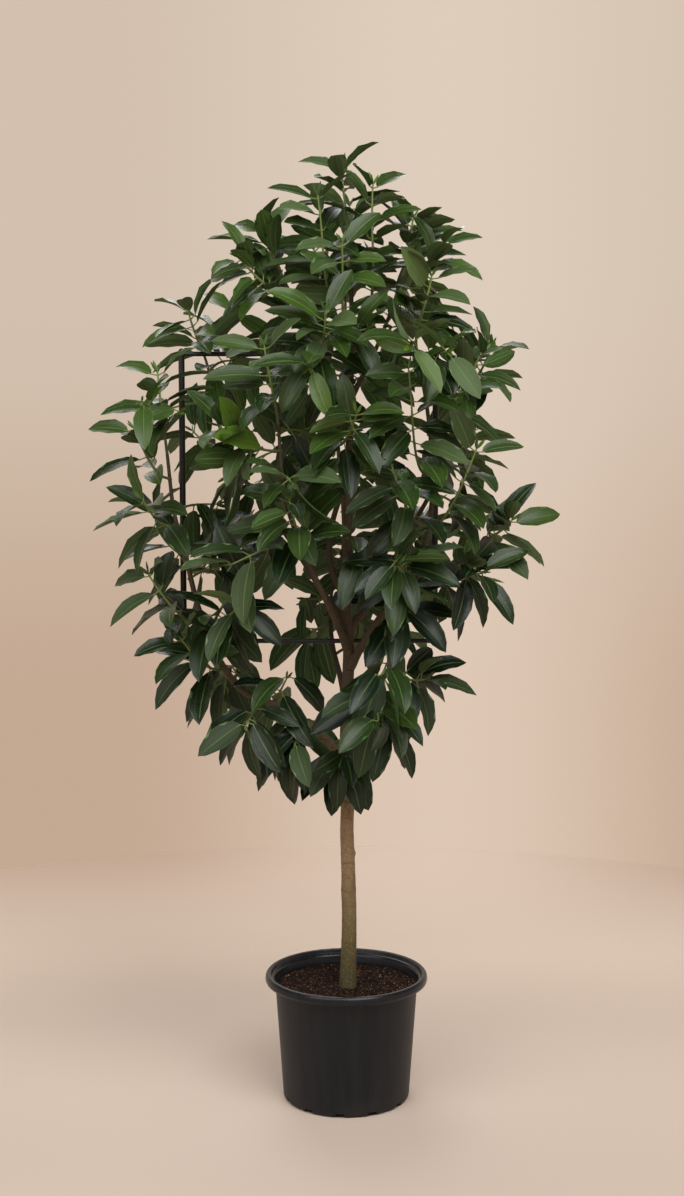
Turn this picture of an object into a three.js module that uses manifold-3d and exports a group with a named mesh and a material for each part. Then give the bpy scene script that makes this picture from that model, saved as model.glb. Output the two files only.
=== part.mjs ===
// A cinnamon tree in a black nursery pot, trained on a rod frame that is tied to its trunk.
// Units are millimetres, +Z is up, -Y is the front, and the origin is the middle of the pot's flat base.
import * as THREE from "three";
import { mergeVertices } from "three/addons/utils/BufferGeometryUtils.js";
import Module from "manifold-3d";

const wasm = await Module();
wasm.setup();

// Driving dimensions
const SEAT_GAP = 0.3; // clearance where one piece rests on another
const POT_HEIGHT = 233;
const POT_RIM_RADIUS = 150;
const POT_BASE_RADIUS = 116.7;
const POT_WALL = 2.2;
const POT_FLOOR = 4;
const POT_SIDES = 32;
const DRAIN_NOTCHES = 12;
const SOIL_TOP = 206;
const TRUNK_FOOT = 116; // the trunk's cut end, down in the potting mix
const TRUNK_X = 3;
const TRUNK_SIDES = 10;
const LIMB_SIDES = 5;
const LIMB_STEP = 90; // length of a limb between two of its rings
const FRAME_LEFT = -297;
const FRAME_RIGHT = 161;
const FRAME_CENTRE = 4;
const FRAME_TOP = 1368;
const FRAME_BOTTOM = 848;
const FRAME_DEPTH = 19; // the frame's plane, just behind the trunk
const UPRIGHT_RADIUS = 5.6;
const RAIL_RADIUS = 4.3;
const LEAF_GAP = 2.6; // least distance between the middle surfaces of two blades
const UP = new THREE.Vector3(0, 0, 1);

// Colours and finishes
const finish = (color, roughness) => new THREE.MeshStandardMaterial({ color, roughness, metalness: 0 });
const BLACK_PLASTIC = finish(0x232427, 0.55);
const POTTING_MIX = finish(0x3b241a, 0.95);
const BARK = finish(0x6f5c45, 0.85);
const COATED_ROD = finish(0x16181a, 0.5);
const LEAF_GREEN = finish(0x1f4a22, 0.4);

// Small helpers for solids and vectors
const vec = (x, y, z) => new THREE.Vector3(x, y, z);
const mix = THREE.MathUtils.lerp;

function solidOf(geometry) {
  const loose = geometry.index ? geometry.toNonIndexed() : geometry;
  const bare = new THREE.BufferGeometry().setAttribute("position", loose.getAttribute("position"));
  const merged = mergeVertices(bare, 1e-3);
  return new wasm.Manifold(
    new wasm.Mesh({
      numProp: 3,
      vertProperties: merged.attributes.position.array,
      triVerts: new Uint32Array(merged.index.array),
    }),
  );
}

function meshOf(name, solid, material) {
  const { vertProperties, triVerts } = solid.getMesh();
  const geometry = new THREE.BufferGeometry();
  geometry.setAttribute("position", new THREE.BufferAttribute(vertProperties, 3));
  geometry.setIndex(new THREE.BufferAttribute(triVerts, 1));
  const flat = geometry.toNonIndexed();
  flat.computeVertexNormals();
  const mesh = new THREE.Mesh(flat, material);
  mesh.name = name;
  return mesh;
}

// A turned solid about +Z from [radius, height] pairs that start and end on the axis, base first.
function turned(profile, sides) {
  const points = profile.map(([r, z]) => new THREE.Vector2(r, z));
  return new THREE.LatheGeometry(points, sides).rotateX(Math.PI / 2);
}

// A seeded random source, so that the tree grows the same way each time.
function seeded(seed) {
  let state = seed;
  return () => {
    state = (state + 0x6d2b79f5) | 0;
    let t = Math.imul(state ^ (state >>> 15), 1 | state);
    t = (t + Math.imul(t ^ (t >>> 7), 61 | t)) ^ t;
    return ((t ^ (t >>> 14)) >>> 0) / 4294967296;
  };
}

// The pot: a thin tapered shell with a rolled rim, a collar under it and drain notches round its foot
const RIM_DROP = 15;
const COLLAR_DROP = 22;
const COLLAR_RADIUS = 133.6;
const WALL_TOP_RADIUS = 131.2;
const RIM_INNER_RADIUS = 139.5;
const NOTCH = { width: 17, depth: 15, height: 8, turn: THREE.MathUtils.degToRad(-6) };

function innerRadius(z) {
  const wallTop = POT_HEIGHT - COLLAR_DROP;
  return mix(POT_BASE_RADIUS, WALL_TOP_RADIUS, z / wallTop) - POT_WALL;
}

function makePot() {
  const wallTop = POT_HEIGHT - COLLAR_DROP;
  const rimFoot = POT_HEIGHT - RIM_DROP;
  const shell = solidOf(
    turned(
      [
        [0, 0],
        [POT_BASE_RADIUS - 4, 0],
        [POT_BASE_RADIUS, 5],
        [WALL_TOP_RADIUS, wallTop],
        [COLLAR_RADIUS, wallTop + 2],
        [COLLAR_RADIUS, rimFoot],
        [POT_RIM_RADIUS - 1.5, rimFoot],
        [POT_RIM_RADIUS, rimFoot + 5],
        [POT_RIM_RADIUS - 3, POT_HEIGHT],
        [RIM_INNER_RADIUS, POT_HEIGHT - 1],
        [innerRadius(wallTop), wallTop],
        [innerRadius(POT_FLOOR), POT_FLOOR],
        [0, POT_FLOOR],
      ],
      POT_SIDES,
    ),
  );
  let pot = shell;
  for (let i = 0; i < DRAIN_NOTCHES; i++) {
    const box = new THREE.BoxGeometry(NOTCH.width, NOTCH.depth, NOTCH.height * 2);
    box.translate(0, -POT_BASE_RADIUS, 0);
    box.rotateZ(NOTCH.turn + (i * 2 * Math.PI) / DRAIN_NOTCHES);
    pot = pot.subtract(solidOf(box));
  }
  return meshOf("pot", pot, BLACK_PLASTIC);
}

// The potting mix: it fills the pot, its top is lumpy, and the trunk stands in a plain hole in it
const TRUNK_FOOT_RADIUS = 16;
const SOIL_RINGS = [0.92, 0.62, 0.32];
const SOIL_RELIEF = 1.6;

function makeSoil() {
  const facet = Math.cos(Math.PI / POT_SIDES);
  const radiusAt = (z) => innerRadius(z) - SEAT_GAP / facet;
  const bottom = POT_FLOOR + SEAT_GAP;
  const edge = radiusAt(SOIL_TOP - 3);
  const geometry = turned(
    [
      [0, bottom],
      [radiusAt(bottom), bottom],
      [edge, SOIL_TOP - 3],
      ...SOIL_RINGS.map((share) => [edge * share, SOIL_TOP]),
      [0, SOIL_TOP],
    ],
    POT_SIDES,
  );
  const position = geometry.getAttribute("position");
  for (let i = 0; i < position.count; i++) {
    const [x, y, z] = [position.getX(i), position.getY(i), position.getZ(i)];
    const lumps = Math.sin(x * 0.11 + 1.3) * Math.cos(y * 0.13) + Math.sin(x * 0.31 - y * 0.23) * 0.8;
    if (z > SOIL_TOP - 1) position.setZ(i, z + SOIL_RELIEF * lumps);
  }
  const holeRadius = (TRUNK_FOOT_RADIUS + SEAT_GAP) / Math.cos(Math.PI / TRUNK_SIDES);
  const holeFloor = TRUNK_FOOT - SEAT_GAP;
  const mouth = SOIL_TOP + 20;
  const holeProfile = [[0, holeFloor], [holeRadius, holeFloor], [holeRadius, mouth], [0, mouth]];
  const hole = solidOf(turned(holeProfile, TRUNK_SIDES).translate(TRUNK_X, 0, 0));
  return meshOf("potting_mix", solidOf(geometry).subtract(hole), POTTING_MIX);
}

// The trunk and its limbs: one grown piece. Each limb is a list of points that it passes through
const TRUNK_PATH = [
  [TRUNK_X, 0, TRUNK_FOOT],
  [TRUNK_X, 0, 165],
  [TRUNK_X, 0, 215],
  [5, -1, 300],
  [5, 0, 370],
  [3, 0, 440],
  [1, 0, 500],
  [2, 0, 560],
  [0, 0, 640],
  [1, 0, 742],
  [4, 0, 815],
  [3, 0, 870],
  [-3, 0, 930],
  [-2, 0, 1000],
  [3, 0, 1080],
  [6, 0, 1214],
  [8, -2, 1330],
  [9, -2, 1430],
  [8, 0, 1520],
];
// Height and radius of the trunk
const TRUNK_RADII = [
  [TRUNK_FOOT, 16],
  [215, 15.9],
  [245, 14.6],
  [340, 13.4],
  [500, 12.4],
  [640, 12],
  [800, 10.6],
  [1000, 8.8],
  [1250, 6.3],
  [1520, 3.4],
];
// Swellings where side shoots were cut off
const TRUNK_KNOTS = [
  { z: 457, angle: 0, size: 2.2, reach: 16 },
  { z: 441, angle: 1.2, size: 0.9, reach: 10 },
  { z: 386, angle: Math.PI, size: 1.3, reach: 22 },
  { z: 562, angle: 0.2, size: 1.2, reach: 22 },
];

// Each limb: its radius at the fork and at its end, and its route from the trunk's middle outwards
const LIMBS = {
  low_left: [8, 3, [[-1, 0, 612], [-20, -14, 652], [-62, -34, 697], [-118, -52, 736], [-187, -60, 770],
    [-234, -62, 838], [-266, -58, 926], [-287, -50, 1013], [-306, -46, 1084], [-318, -44, 1190]]],
  low_right: [5.5, 3, [[2, 0, 700], [26, -24, 738], [56, -46, 772], [82, -56, 822], [92, -60, 878]]],
  low_back: [5.5, 3, [[0, 0, 736], [-12, 30, 784], [-26, 76, 836], [-30, 118, 900], [-22, 142, 972]]],
  right_front: [7, 2.8, [[4, 0, 800], [60, -34, 896], [112, -58, 962], [142, -72, 1039], [151, -78, 1144],
    [142, -78, 1260], [122, -72, 1370]]],
  far_right: [4.2, 2.6, [[112, -58, 962], [156, -50, 980], [200, -40, 996], [232, -30, 1024]]],
  left_front: [6.5, 2.8, [[3, 0, 838], [-34, -60, 925], [-78, -98, 1025], [-108, -110, 1120],
    [-118, -112, 1240]]],
  centre_front: [5.5, 2.8, [[-2, 0, 905], [-2, -56, 1010], [-8, -92, 1130], [-24, -106, 1270],
    [-38, -108, 1340]]],
  left_back: [6.5, 2.8, [[1, 0, 876], [-36, 18, 926], [-78, 62, 990], [-130, 98, 1064], [-190, 114, 1140],
    [-236, 112, 1240], [-254, 96, 1340]]],
  back: [6, 2.8, [[-2, 0, 938], [-26, 20, 976], [-28, 64, 1050], [0, 110, 1150], [10, 130, 1260],
    [-2, 132, 1370], [-24, 118, 1460]]],
  right_back: [6, 2.8, [[2, 0, 868], [40, 22, 914], [86, 66, 990], [138, 98, 1080], [190, 104, 1180],
    [224, 92, 1290]]],
  top_left: [4.6, 2.6, [[7, 0, 1236], [-26, -14, 1310], [-72, -20, 1408], [-112, -10, 1500]]],
  top_right: [4.4, 2.6, [[8, 0, 1290], [42, -8, 1352], [76, 0, 1434], [100, 6, 1506]]],
};

function curveThrough(points) {
  return new THREE.CatmullRomCurve3(points.map((p) => vec(...p)), false, "centripetal");
}

// A cylinder bent along a curve. Its radius follows the share of the length and the direction outwards.
function bentRod({ curve, radiusAt, sides, steps }) {
  const geometry = new THREE.CylinderGeometry(1, 1, 1, sides, steps);
  const { normals, binormals } = curve.computeFrenetFrames(steps, false);
  const position = geometry.getAttribute("position");
  const at = new THREE.Vector3();
  for (let i = 0; i < position.count; i++) {
    at.fromBufferAttribute(position, i);
    const share = at.y + 0.5;
    const row = Math.round(share * steps);
    const outward = binormals[row].clone().multiplyScalar(at.x).addScaledVector(normals[row], at.z);
    const point = curve.getPointAt(share).addScaledVector(outward, radiusAt(share, outward));
    position.setXYZ(i, point.x, point.y, point.z);
  }
  return geometry;
}

function fromTable(rows, z) {
  const after = rows.findIndex(([height]) => height >= z);
  if (after <= 0) return rows[after < 0 ? rows.length - 1 : 0][1];
  const [z0, r0] = rows[after - 1];
  const [z1, r1] = rows[after];
  return mix(r0, r1, (z - z0) / (z1 - z0));
}

const trunkCurve = curveThrough(TRUNK_PATH);
const TRUNK_STEPS = 21;

function trunkRadius(share, outward) {
  const z = trunkCurve.getPointAt(share).z;
  let radius = fromTable(TRUNK_RADII, z);
  for (const knot of TRUNK_KNOTS) {
    const facing = outward.x * Math.cos(knot.angle) + outward.y * Math.sin(knot.angle);
    const height = (z - knot.z) / knot.reach;
    if (facing > 0) radius += knot.size * facing * Math.exp(-height * height);
  }
  return radius;
}

const limbs = new Map();
limbs.set("trunk", { curve: trunkCurve, steps: TRUNK_STEPS, sides: TRUNK_SIDES, radiusAt: trunkRadius });
for (const [name, [first, last, route]] of Object.entries(LIMBS)) {
  const curve = curveThrough(route);
  const steps = Math.max(4, Math.round(curve.getLength() / LIMB_STEP));
  limbs.set(name, { curve, steps, sides: LIMB_SIDES, radiusAt: (share) => mix(first, last, share) });
}

function makeTrunk() {
  const grown = [...limbs.values()].map((limb) => solidOf(bentRod(limb)));
  return meshOf("trunk_and_limbs", grown.reduce((tree, limb) => tree.add(limb)), BARK);
}

// The support frame: three uprights and two rails of coated rod that meet end to side, and two ties
const ROD_SIDES = 8;
const ROD_FACET = Math.cos(Math.PI / ROD_SIDES);
const UPRIGHT_INSET = UPRIGHT_RADIUS * ROD_FACET + SEAT_GAP; // from an upright's axis to a rail's end
const RAIL_INSET = RAIL_RADIUS * ROD_FACET + SEAT_GAP; // from a rail's axis to the centre upright's end
const OVERHANG = 10; // the outer uprights run on past the rails
const RODS = {
  upright_left: uprightAt(FRAME_LEFT, FRAME_BOTTOM - OVERHANG, FRAME_TOP + OVERHANG),
  upright_right: uprightAt(FRAME_RIGHT, FRAME_BOTTOM - OVERHANG, FRAME_TOP + OVERHANG),
  upright_centre: uprightAt(FRAME_CENTRE, FRAME_BOTTOM + RAIL_INSET, FRAME_TOP - RAIL_INSET),
  rail_top: railAt(FRAME_TOP),
  rail_bottom: railAt(FRAME_BOTTOM),
};

function uprightAt(x, bottom, top) {
  return [vec(x, FRAME_DEPTH, bottom), vec(x, FRAME_DEPTH, top), UPRIGHT_RADIUS];
}

function railAt(z) {
  const [left, right] = [FRAME_LEFT + UPRIGHT_INSET, FRAME_RIGHT - UPRIGHT_INSET];
  return [vec(left, FRAME_DEPTH, z), vec(right, FRAME_DEPTH, z), RAIL_RADIUS];
}

function makeRod(name, [from, to, radius]) {
  const along = to.clone().sub(from);
  const geometry = new THREE.CylinderGeometry(radius, radius, along.length(), ROD_SIDES);
  geometry.rotateY(Math.PI / ROD_SIDES); // flat sides face along the axes
  geometry.applyQuaternion(new THREE.Quaternion().setFromUnitVectors(vec(0, 1, 0), along.normalize()));
  const middle = from.clone().add(to).multiplyScalar(0.5);
  geometry.translate(middle.x, middle.y, middle.z);
  return meshOf(name, solidOf(geometry), COATED_ROD);
}

// A flat band round the trunk and the centre upright: the hull of their two circles, as a thin ring
const TIES = { tie_lower: 1010, tie_upper: 1318 };
const TIE_HEIGHT = 9;
const TIE_THICKNESS = 1.4;
const TIE_SLACK = 0.6; // the trunk's bark bulges a little between its rings
const TIE_REACH = 16; // from the line between trunk and upright to outside the band
const TIE_POINTS = 12;

function makeTie(name, z) {
  const trunkAt = trunkCurve.getPointAt(shareAtHeight(trunkCurve, z));
  const circles = [
    { x: trunkAt.x, y: trunkAt.y, r: fromTable(TRUNK_RADII, z) + TIE_SLACK },
    { x: FRAME_CENTRE, y: FRAME_DEPTH, r: UPRIGHT_RADIUS },
  ];
  const outline = (offset) =>
    Array.from({ length: TIE_POINTS }, (_, i) => {
      const angle = (i * 2 * Math.PI) / TIE_POINTS;
      const [cx, cy] = [Math.cos(angle), Math.sin(angle)];
      const reach = (c) => c.x * cx + c.y * cy + c.r;
      const c = reach(circles[0]) > reach(circles[1]) ? circles[0] : circles[1];
      const radius = (c.r + offset) / Math.cos(Math.PI / TIE_POINTS);
      return new THREE.Vector2(c.x + cx * radius, c.y + cy * radius);
    });
  const shape = new THREE.Shape(outline(SEAT_GAP + TIE_THICKNESS));
  shape.holes.push(new THREE.Path(outline(SEAT_GAP).reverse()));
  const band = new THREE.ExtrudeGeometry(shape, { depth: TIE_HEIGHT, bevelEnabled: false });
  band.translate(0, 0, z - TIE_HEIGHT / 2);
  return meshOf(name, solidOf(band), COATED_ROD);
}

function shareAtHeight(curve, z) {
  let [low, high] = [0, 1];
  for (let i = 0; i < 30; i++) {
    const middle = (low + high) / 2;
    if (curve.getPointAt(middle).z < z) low = middle;
    else high = middle;
  }
  return low;
}

// The leafy shoots: limb, share of its length (1 is its end), tip, leaf pairs, and how much the leaves hang
const SHOOTS = [
  ["trunk", 1, [-9, 0, 1694], 4, 0.12],
  ["trunk", 0.95, [46, -40, 1656], 4, 0.18],
  ["trunk", 0.93, [-50, -50, 1636], 4, 0.18],
  ["trunk", 0.93, [6, 84, 1636], 4, 0.22],
  ["trunk", 0.86, [-8, -122, 1546], 4, 0.38],
  ["top_left", 1, [-150, -2, 1584], 4, 0.16],
  ["top_left", 0.8, [-184, -62, 1528], 4, 0.2],
  ["top_left", 0.72, [-120, 116, 1516], 4, 0.22],
  ["top_right", 1, [118, 2, 1604], 4, 0.14],
  ["top_right", 0.86, [172, -46, 1556], 4, 0.18],
  ["top_right", 0.74, [124, 112, 1524], 4, 0.22],
  ["right_front", 1, [146, -96, 1492], 4, 0.22],
  ["right_front", 0.82, [234, -66, 1364], 4, 0.22],
  ["right_front", 0.68, [104, -186, 1330], 4, 0.46],
  ["right_front", 0.56, [224, -110, 1196], 4, 0.4],
  ["right_front", 0.48, [76, -192, 1170], 4, 0.54],
  ["right_front", 0.33, [84, -176, 1010], 4, 0.74],
  ["far_right", 1, [292, -50, 1070], 4, 0.18],
  ["far_right", 0.66, [238, -112, 984], 4, 0.4],
  ["far_right", 0.4, [206, 62, 956], 4, 0.3],
  ["right_back", 1, [262, 36, 1382], 4, 0.22],
  ["right_back", 0.74, [244, 176, 1230], 4, 0.3],
  ["right_back", 0.44, [146, 196, 1050], 4, 0.62],
  ["low_right", 1, [96, -128, 960], 4, 0.62],
  ["low_right", 0.74, [142, -66, 790], 4, 0.64],
  ["low_right", 0.46, [76, -112, 706], 4, 1.06],
  ["low_left", 0.08, [-8, -96, 652], 4, 1.06],
  ["low_left", 0.2, [-92, -118, 676], 4, 1.16],
  ["low_left", 0.24, [-90, 52, 680], 4, 1.06],
  ["low_left", 0.33, [-176, -136, 716], 4, 1.06],
  ["low_left", 0.38, [-226, 36, 744], 4, 1.06],
  ["low_left", 0.46, [-288, -124, 868], 4, 0.44],
  ["low_left", 0.52, [-186, -160, 930], 4, 0.68],
  ["low_left", 0.62, [-346, -100, 978], 4, 0.56],
  ["low_left", 0.74, [-356, 56, 1092], 4, 0.32],
  ["low_left", 0.8, [-350, -140, 1110], 4, 0.46],
  ["low_left", 0.94, [-372, -70, 1232], 4, 0.22],
  ["low_left", 1, [-334, -36, 1330], 4, 0.2],
  ["left_front", 1, [-140, -138, 1370], 4, 0.36],
  ["left_front", 0.84, [-216, -146, 1236], 4, 0.42],
  ["left_front", 0.56, [-96, -200, 1110], 4, 0.54],
  ["centre_front", 1, [-36, -166, 1426], 4, 0.36],
  ["centre_front", 0.7, [16, -204, 1256], 4, 0.5],
  ["left_back", 1, [-286, 40, 1446], 4, 0.2],
  ["left_back", 0.7, [-290, 166, 1230], 4, 0.28],
  ["left_back", 0.44, [-186, 196, 1050], 4, 0.6],
  ["back", 1, [-60, 156, 1566], 4, 0.24],
  ["back", 0.72, [66, 216, 1370], 4, 0.32],
  ["back", 0.46, [-96, 216, 1240], 4, 0.36],
  ["low_back", 0.42, [4, 206, 1066], 7, 0.8],
];

// The leafy shoots. Each stem is square in section, and a leaf is raised from one of its faces
const STEM = { base: 2.7, tip: 1.3, nodeHalf: 2, bud: 9 };
const PETIOLE = { length: 12, halfWidth: 1.3, halfDepth: 0.9 };
const BLADE = { halfDepth: 0.8, fold: 0.3 };
const GROWN_LEAF = { upper: 102, lower: 118 };
const YOUNG_LEAF = 58;
// Sections of a blade: share of its length, and share of its greatest half width
const BLADE_SECTIONS = [
  [0.3, 0.95],
  [0.68, 0.86],
];
const FIRST_PAIR = 0.3;
const LEAST_TURN = 0.35; // cosine of the sharpest bend between a stalk and its blade
const random = seeded(41);
const spread = (size) => (random() * 2 - 1) * size;

// A face of a limb that looks towards a point, as the seat of a shoot
function seatOn(limb, share, towards) {
  const { curve, steps, sides, radiusAt } = limb;
  const centre = curve.getPointAt(share);
  const tangent = curve.getTangentAt(share);
  if (share === 1) return { point: centre.addScaledVector(tangent, SEAT_GAP), normal: tangent };
  const row = Math.min(steps - 1, Math.floor(share * steps));
  const { normals, binormals } = curve.computeFrenetFrames(steps, false);
  const middle = (row + 0.5) / steps;
  const corner = (end, side) => {
    const angle = (side * 2 * Math.PI) / sides;
    // a cylinder's rings start at its local +Z and turn towards +X
    const outward = binormals[end].clone().multiplyScalar(Math.sin(angle));
    outward.addScaledVector(normals[end], Math.cos(angle));
    return curve.getPointAt(end / steps).addScaledVector(outward, radiusAt(end / steps, outward));
  };
  let best = null;
  for (let side = 0; side < sides; side++) {
    const [a, b] = [corner(row, side), corner(row, side + 1)];
    const [c, d] = [corner(row + 1, side + 1), corner(row + 1, side)];
    const point = a.clone().add(b).add(c).add(d).multiplyScalar(0.25);
    const normal = c.clone().sub(a).cross(d.clone().sub(b)).normalize();
    if (normal.dot(point.clone().sub(curve.getPointAt(middle))) < 0) normal.negate();
    const facing = normal.dot(towards.clone().sub(point).normalize());
    if (!best || facing > best.facing) best = { point, normal, facing };
  }
  best.point.addScaledVector(best.normal, SEAT_GAP + 0.1);
  return best;
}

// A surface that is put together from corner points and triangles
class Surface {
  positions = [];
  triangles = [];
  point(p) {
    return this.positions.push(p) - 1;
  }
  triangle(a, b, c) {
    this.triangles.push(a, b, c);
  }
  solid() {
    const geometry = new THREE.BufferGeometry().setFromPoints(this.positions);
    geometry.setIndex(this.triangles);
    return solidOf(geometry);
  }
}

// A stalk leaves its stem outwards and has turned half way towards the blade's aim
function stalkDirection(outward, aim) {
  return outward.clone().multiplyScalar(0.6).add(aim.clone().multiplyScalar(0.55)).normalize();
}

// A blade before it is built: its sections as [right, top, left, bottom], and the obstacle that it makes
function shapeLeaf(root, outward, aim, lookUp, length, halfWidth, curl) {
  const start = stalkDirection(outward, aim);
  const petioleEnd = root.clone().addScaledVector(start, PETIOLE.length);
  const face = lookUp.clone().addScaledVector(aim, -lookUp.dot(aim)).normalize();
  const side = aim.clone().cross(face);
  const place = (share) =>
    petioleEnd
      .clone()
      .addScaledVector(aim, length * share * (1 - 0.35 * curl * share))
      .addScaledVector(face, -length * curl * share * share);
  const section = (share, half, depth, fold) => {
    const middle = place(share);
    const normal = face.clone().addScaledVector(aim, 2 * curl * share).normalize();
    const raised = normal.clone().multiplyScalar(half * fold);
    return [
      middle.clone().addScaledVector(side, -half).add(raised),
      middle.clone().addScaledVector(normal, depth),
      middle.clone().addScaledVector(side, half).add(raised),
      middle.clone().addScaledVector(normal, -depth),
    ];
  };
  const sections = [section(0, PETIOLE.halfWidth, PETIOLE.halfDepth, 0)];
  for (const [share, width] of BLADE_SECTIONS) {
    sections.push(section(share, halfWidth * width, BLADE.halfDepth, BLADE.fold));
  }
  const sheet = sheetOf(root, sections, place(1));
  return { sections, tip: place(1), sheet, blade: { ...sheet, lines: sheet.lines.slice(1) } };
}

// Obstacles: line segments with a radius, and the middle triangles of a blade
function sheetOf(root, sections, tip) {
  const rows = sections.map(([right, top, left, bottom]) => [right, top.clone().lerp(bottom, 0.5), left]);
  const lines = [[root, rows[0][1]]];
  const faces = [];
  for (let i = 0; i + 1 < rows.length; i++) {
    for (let k = 0; k < 3; k++) lines.push([rows[i][k], rows[i + 1][k]]);
    lines.push([rows[i + 1][0], rows[i + 1][1]], [rows[i + 1][1], rows[i + 1][2]]);
    lines.push([rows[i][0], rows[i + 1][1]], [rows[i][2], rows[i + 1][1]]);
    for (const k of [0, 2]) {
      faces.push([rows[i][k], rows[i][1], rows[i + 1][1]], [rows[i][k], rows[i + 1][1], rows[i + 1][k]]);
    }
  }
  const last = rows.at(-1);
  for (let k = 0; k < 3; k++) lines.push([last[k], tip]);
  faces.push([last[0], last[1], tip], [last[1], last[2], tip]);
  return obstacle(lines, faces, LEAF_GAP / 2);
}

function obstacle(lines, faces, radius) {
  const ball = new THREE.Box3().setFromPoints(lines.flat()).getBoundingSphere(new THREE.Sphere());
  ball.radius += radius;
  return { lines, faces, radius, ball };
}

function tubeObstacles(curve, radiusAt, steps) {
  return Array.from({ length: steps }, (_, i) => {
    const radius = radiusAt((i + 0.5) / steps, UP);
    const line = [curve.getPointAt(i / steps), curve.getPointAt((i + 1) / steps)];
    return obstacle([line], [], radius + LEAF_GAP / 2);
  });
}

// Squared distance between two line segments
function lineDistanceSq([p1, q1], [p2, q2]) {
  const [d1, d2, r] = [q1.clone().sub(p1), q2.clone().sub(p2), p1.clone().sub(p2)];
  const [a, e, f, c, b] = [d1.dot(d1), d2.dot(d2), d2.dot(r), d1.dot(r), d1.dot(d2)];
  const clamp = (x) => Math.min(1, Math.max(0, x));
  const denominator = a * e - b * b;
  let s = denominator > 1e-9 ? clamp((b * f - c * e) / denominator) : 0;
  let t = (b * s + f) / e;
  if (t < 0 || t > 1) {
    t = clamp(t);
    s = clamp((b * t - c) / a);
  }
  return r.addScaledVector(d1, s).addScaledVector(d2, -t).lengthSq();
}

const ray = new THREE.Ray();
const hit = new THREE.Vector3();
const near = new THREE.Vector3();
const triangle = new THREE.Triangle();

// Whether a line touches a triangle, or one of its ends comes within a distance of it
function lineMeetsFace([from, to], [a, b, c], distance) {
  ray.origin.copy(from);
  ray.direction.copy(to).sub(from);
  const length = ray.direction.length();
  ray.direction.divideScalar(length);
  if (ray.intersectTriangle(a, b, c, false, hit) && hit.distanceTo(from) <= length) return true;
  triangle.set(a, b, c);
  return [from, to].some((end) => triangle.closestPointToPoint(end, near).distanceTo(end) < distance);
}

function meet(one, other) {
  const distance = one.radius + other.radius;
  if (one.ball.center.distanceTo(other.ball.center) > one.ball.radius + other.ball.radius) return false;
  for (const line of one.lines) {
    if (other.lines.some((l) => lineDistanceSq(line, l) < distance * distance)) return true;
    if (other.faces.some((face) => lineMeetsFace(line, face, distance))) return true;
  }
  return other.lines.some((line) => one.faces.some((face) => lineMeetsFace(line, face, distance)));
}

// Stems first: each leaves its seat squarely, then bends towards its tip, and most rise a little at the end
const stems = SHOOTS.map(([limbName, share, tipAt, pairs, hang], index) => {
  const tip = vec(...tipAt);
  const seat = seatOn(limbs.get(limbName), share, tip);
  const way = tip.clone().sub(seat.point);
  const reach = way.length();
  const lift = hang > 1 ? -0.2 : 0.5;
  const arrival = way.clone().normalize().addScaledVector(UP, lift).normalize();
  const curve = new THREE.CubicBezierCurve3(
    seat.point,
    seat.point.clone().addScaledVector(seat.normal, reach * 0.28),
    tip.clone().addScaledVector(arrival, -reach * 0.36),
    tip,
  );
  const plane = seat.normal.clone().cross(way);
  if (plane.length() < 1e-3 * reach) plane.set(1, 0.2, 0);
  return {
    name: "shoot_" + String(index + 1).padStart(2, "0") + "_" + limbName,
    curve,
    radiusAt: (t) => mix(STEM.base, STEM.tip, t),
    plane: plane.normalize(),
    turn: random() * Math.PI,
    pairs,
    hang,
    leaves: new Map(),
  };
});

// What the leaves grow round: limbs, rods, ties and stems
const fixed = [];
for (const { curve, radiusAt, steps } of limbs.values()) {
  fixed.push(...tubeObstacles(curve, radiusAt, steps * 3));
}
for (const [from, to, radius] of Object.values(RODS)) {
  fixed.push(obstacle([[from, to]], [], radius + LEAF_GAP / 2));
}
for (const z of Object.values(TIES)) {
  const band = [vec(FRAME_CENTRE, 0, z), vec(FRAME_CENTRE, FRAME_DEPTH, z)];
  fixed.push(obstacle([band], [], TIE_REACH));
}
const stemObstacles = stems.map(({ curve, radiusAt }) => tubeObstacles(curve, radiusAt, 8));

// The square section of a stem at a share of its length: two axes across it and its corners
function stemSection(stem, t, offset = 0) {
  const tangent = stem.curve.getTangentAt(t);
  const centre = stem.curve.getPointAt(t).addScaledVector(tangent, offset);
  const u = stem.plane.clone().addScaledVector(tangent, -stem.plane.dot(tangent)).normalize();
  u.applyAxisAngle(tangent, stem.turn);
  const v = tangent.clone().cross(u);
  const radius = stem.radiusAt(t) * (offset === 0 ? 1 : 1.15);
  const corners = [1, 3, 5, 7].map((k) =>
    centre
      .clone()
      .addScaledVector(u, Math.cos((k * Math.PI) / 4) * radius)
      .addScaledVector(v, Math.sin((k * Math.PI) / 4) * radius),
  );
  const outwards = [v, u.clone().negate(), v.clone().negate(), u];
  return { tangent, centre, radius, corners, outwards };
}

const pairShare = (stem, pair) => mix(FIRST_PAIR, 0.985, pair / (stem.pairs - 1));

// One leaf: it is aimed by the rule, and turned, lifted or shortened until it meets nothing
const TRIES = 60;
const placed = [];

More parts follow.
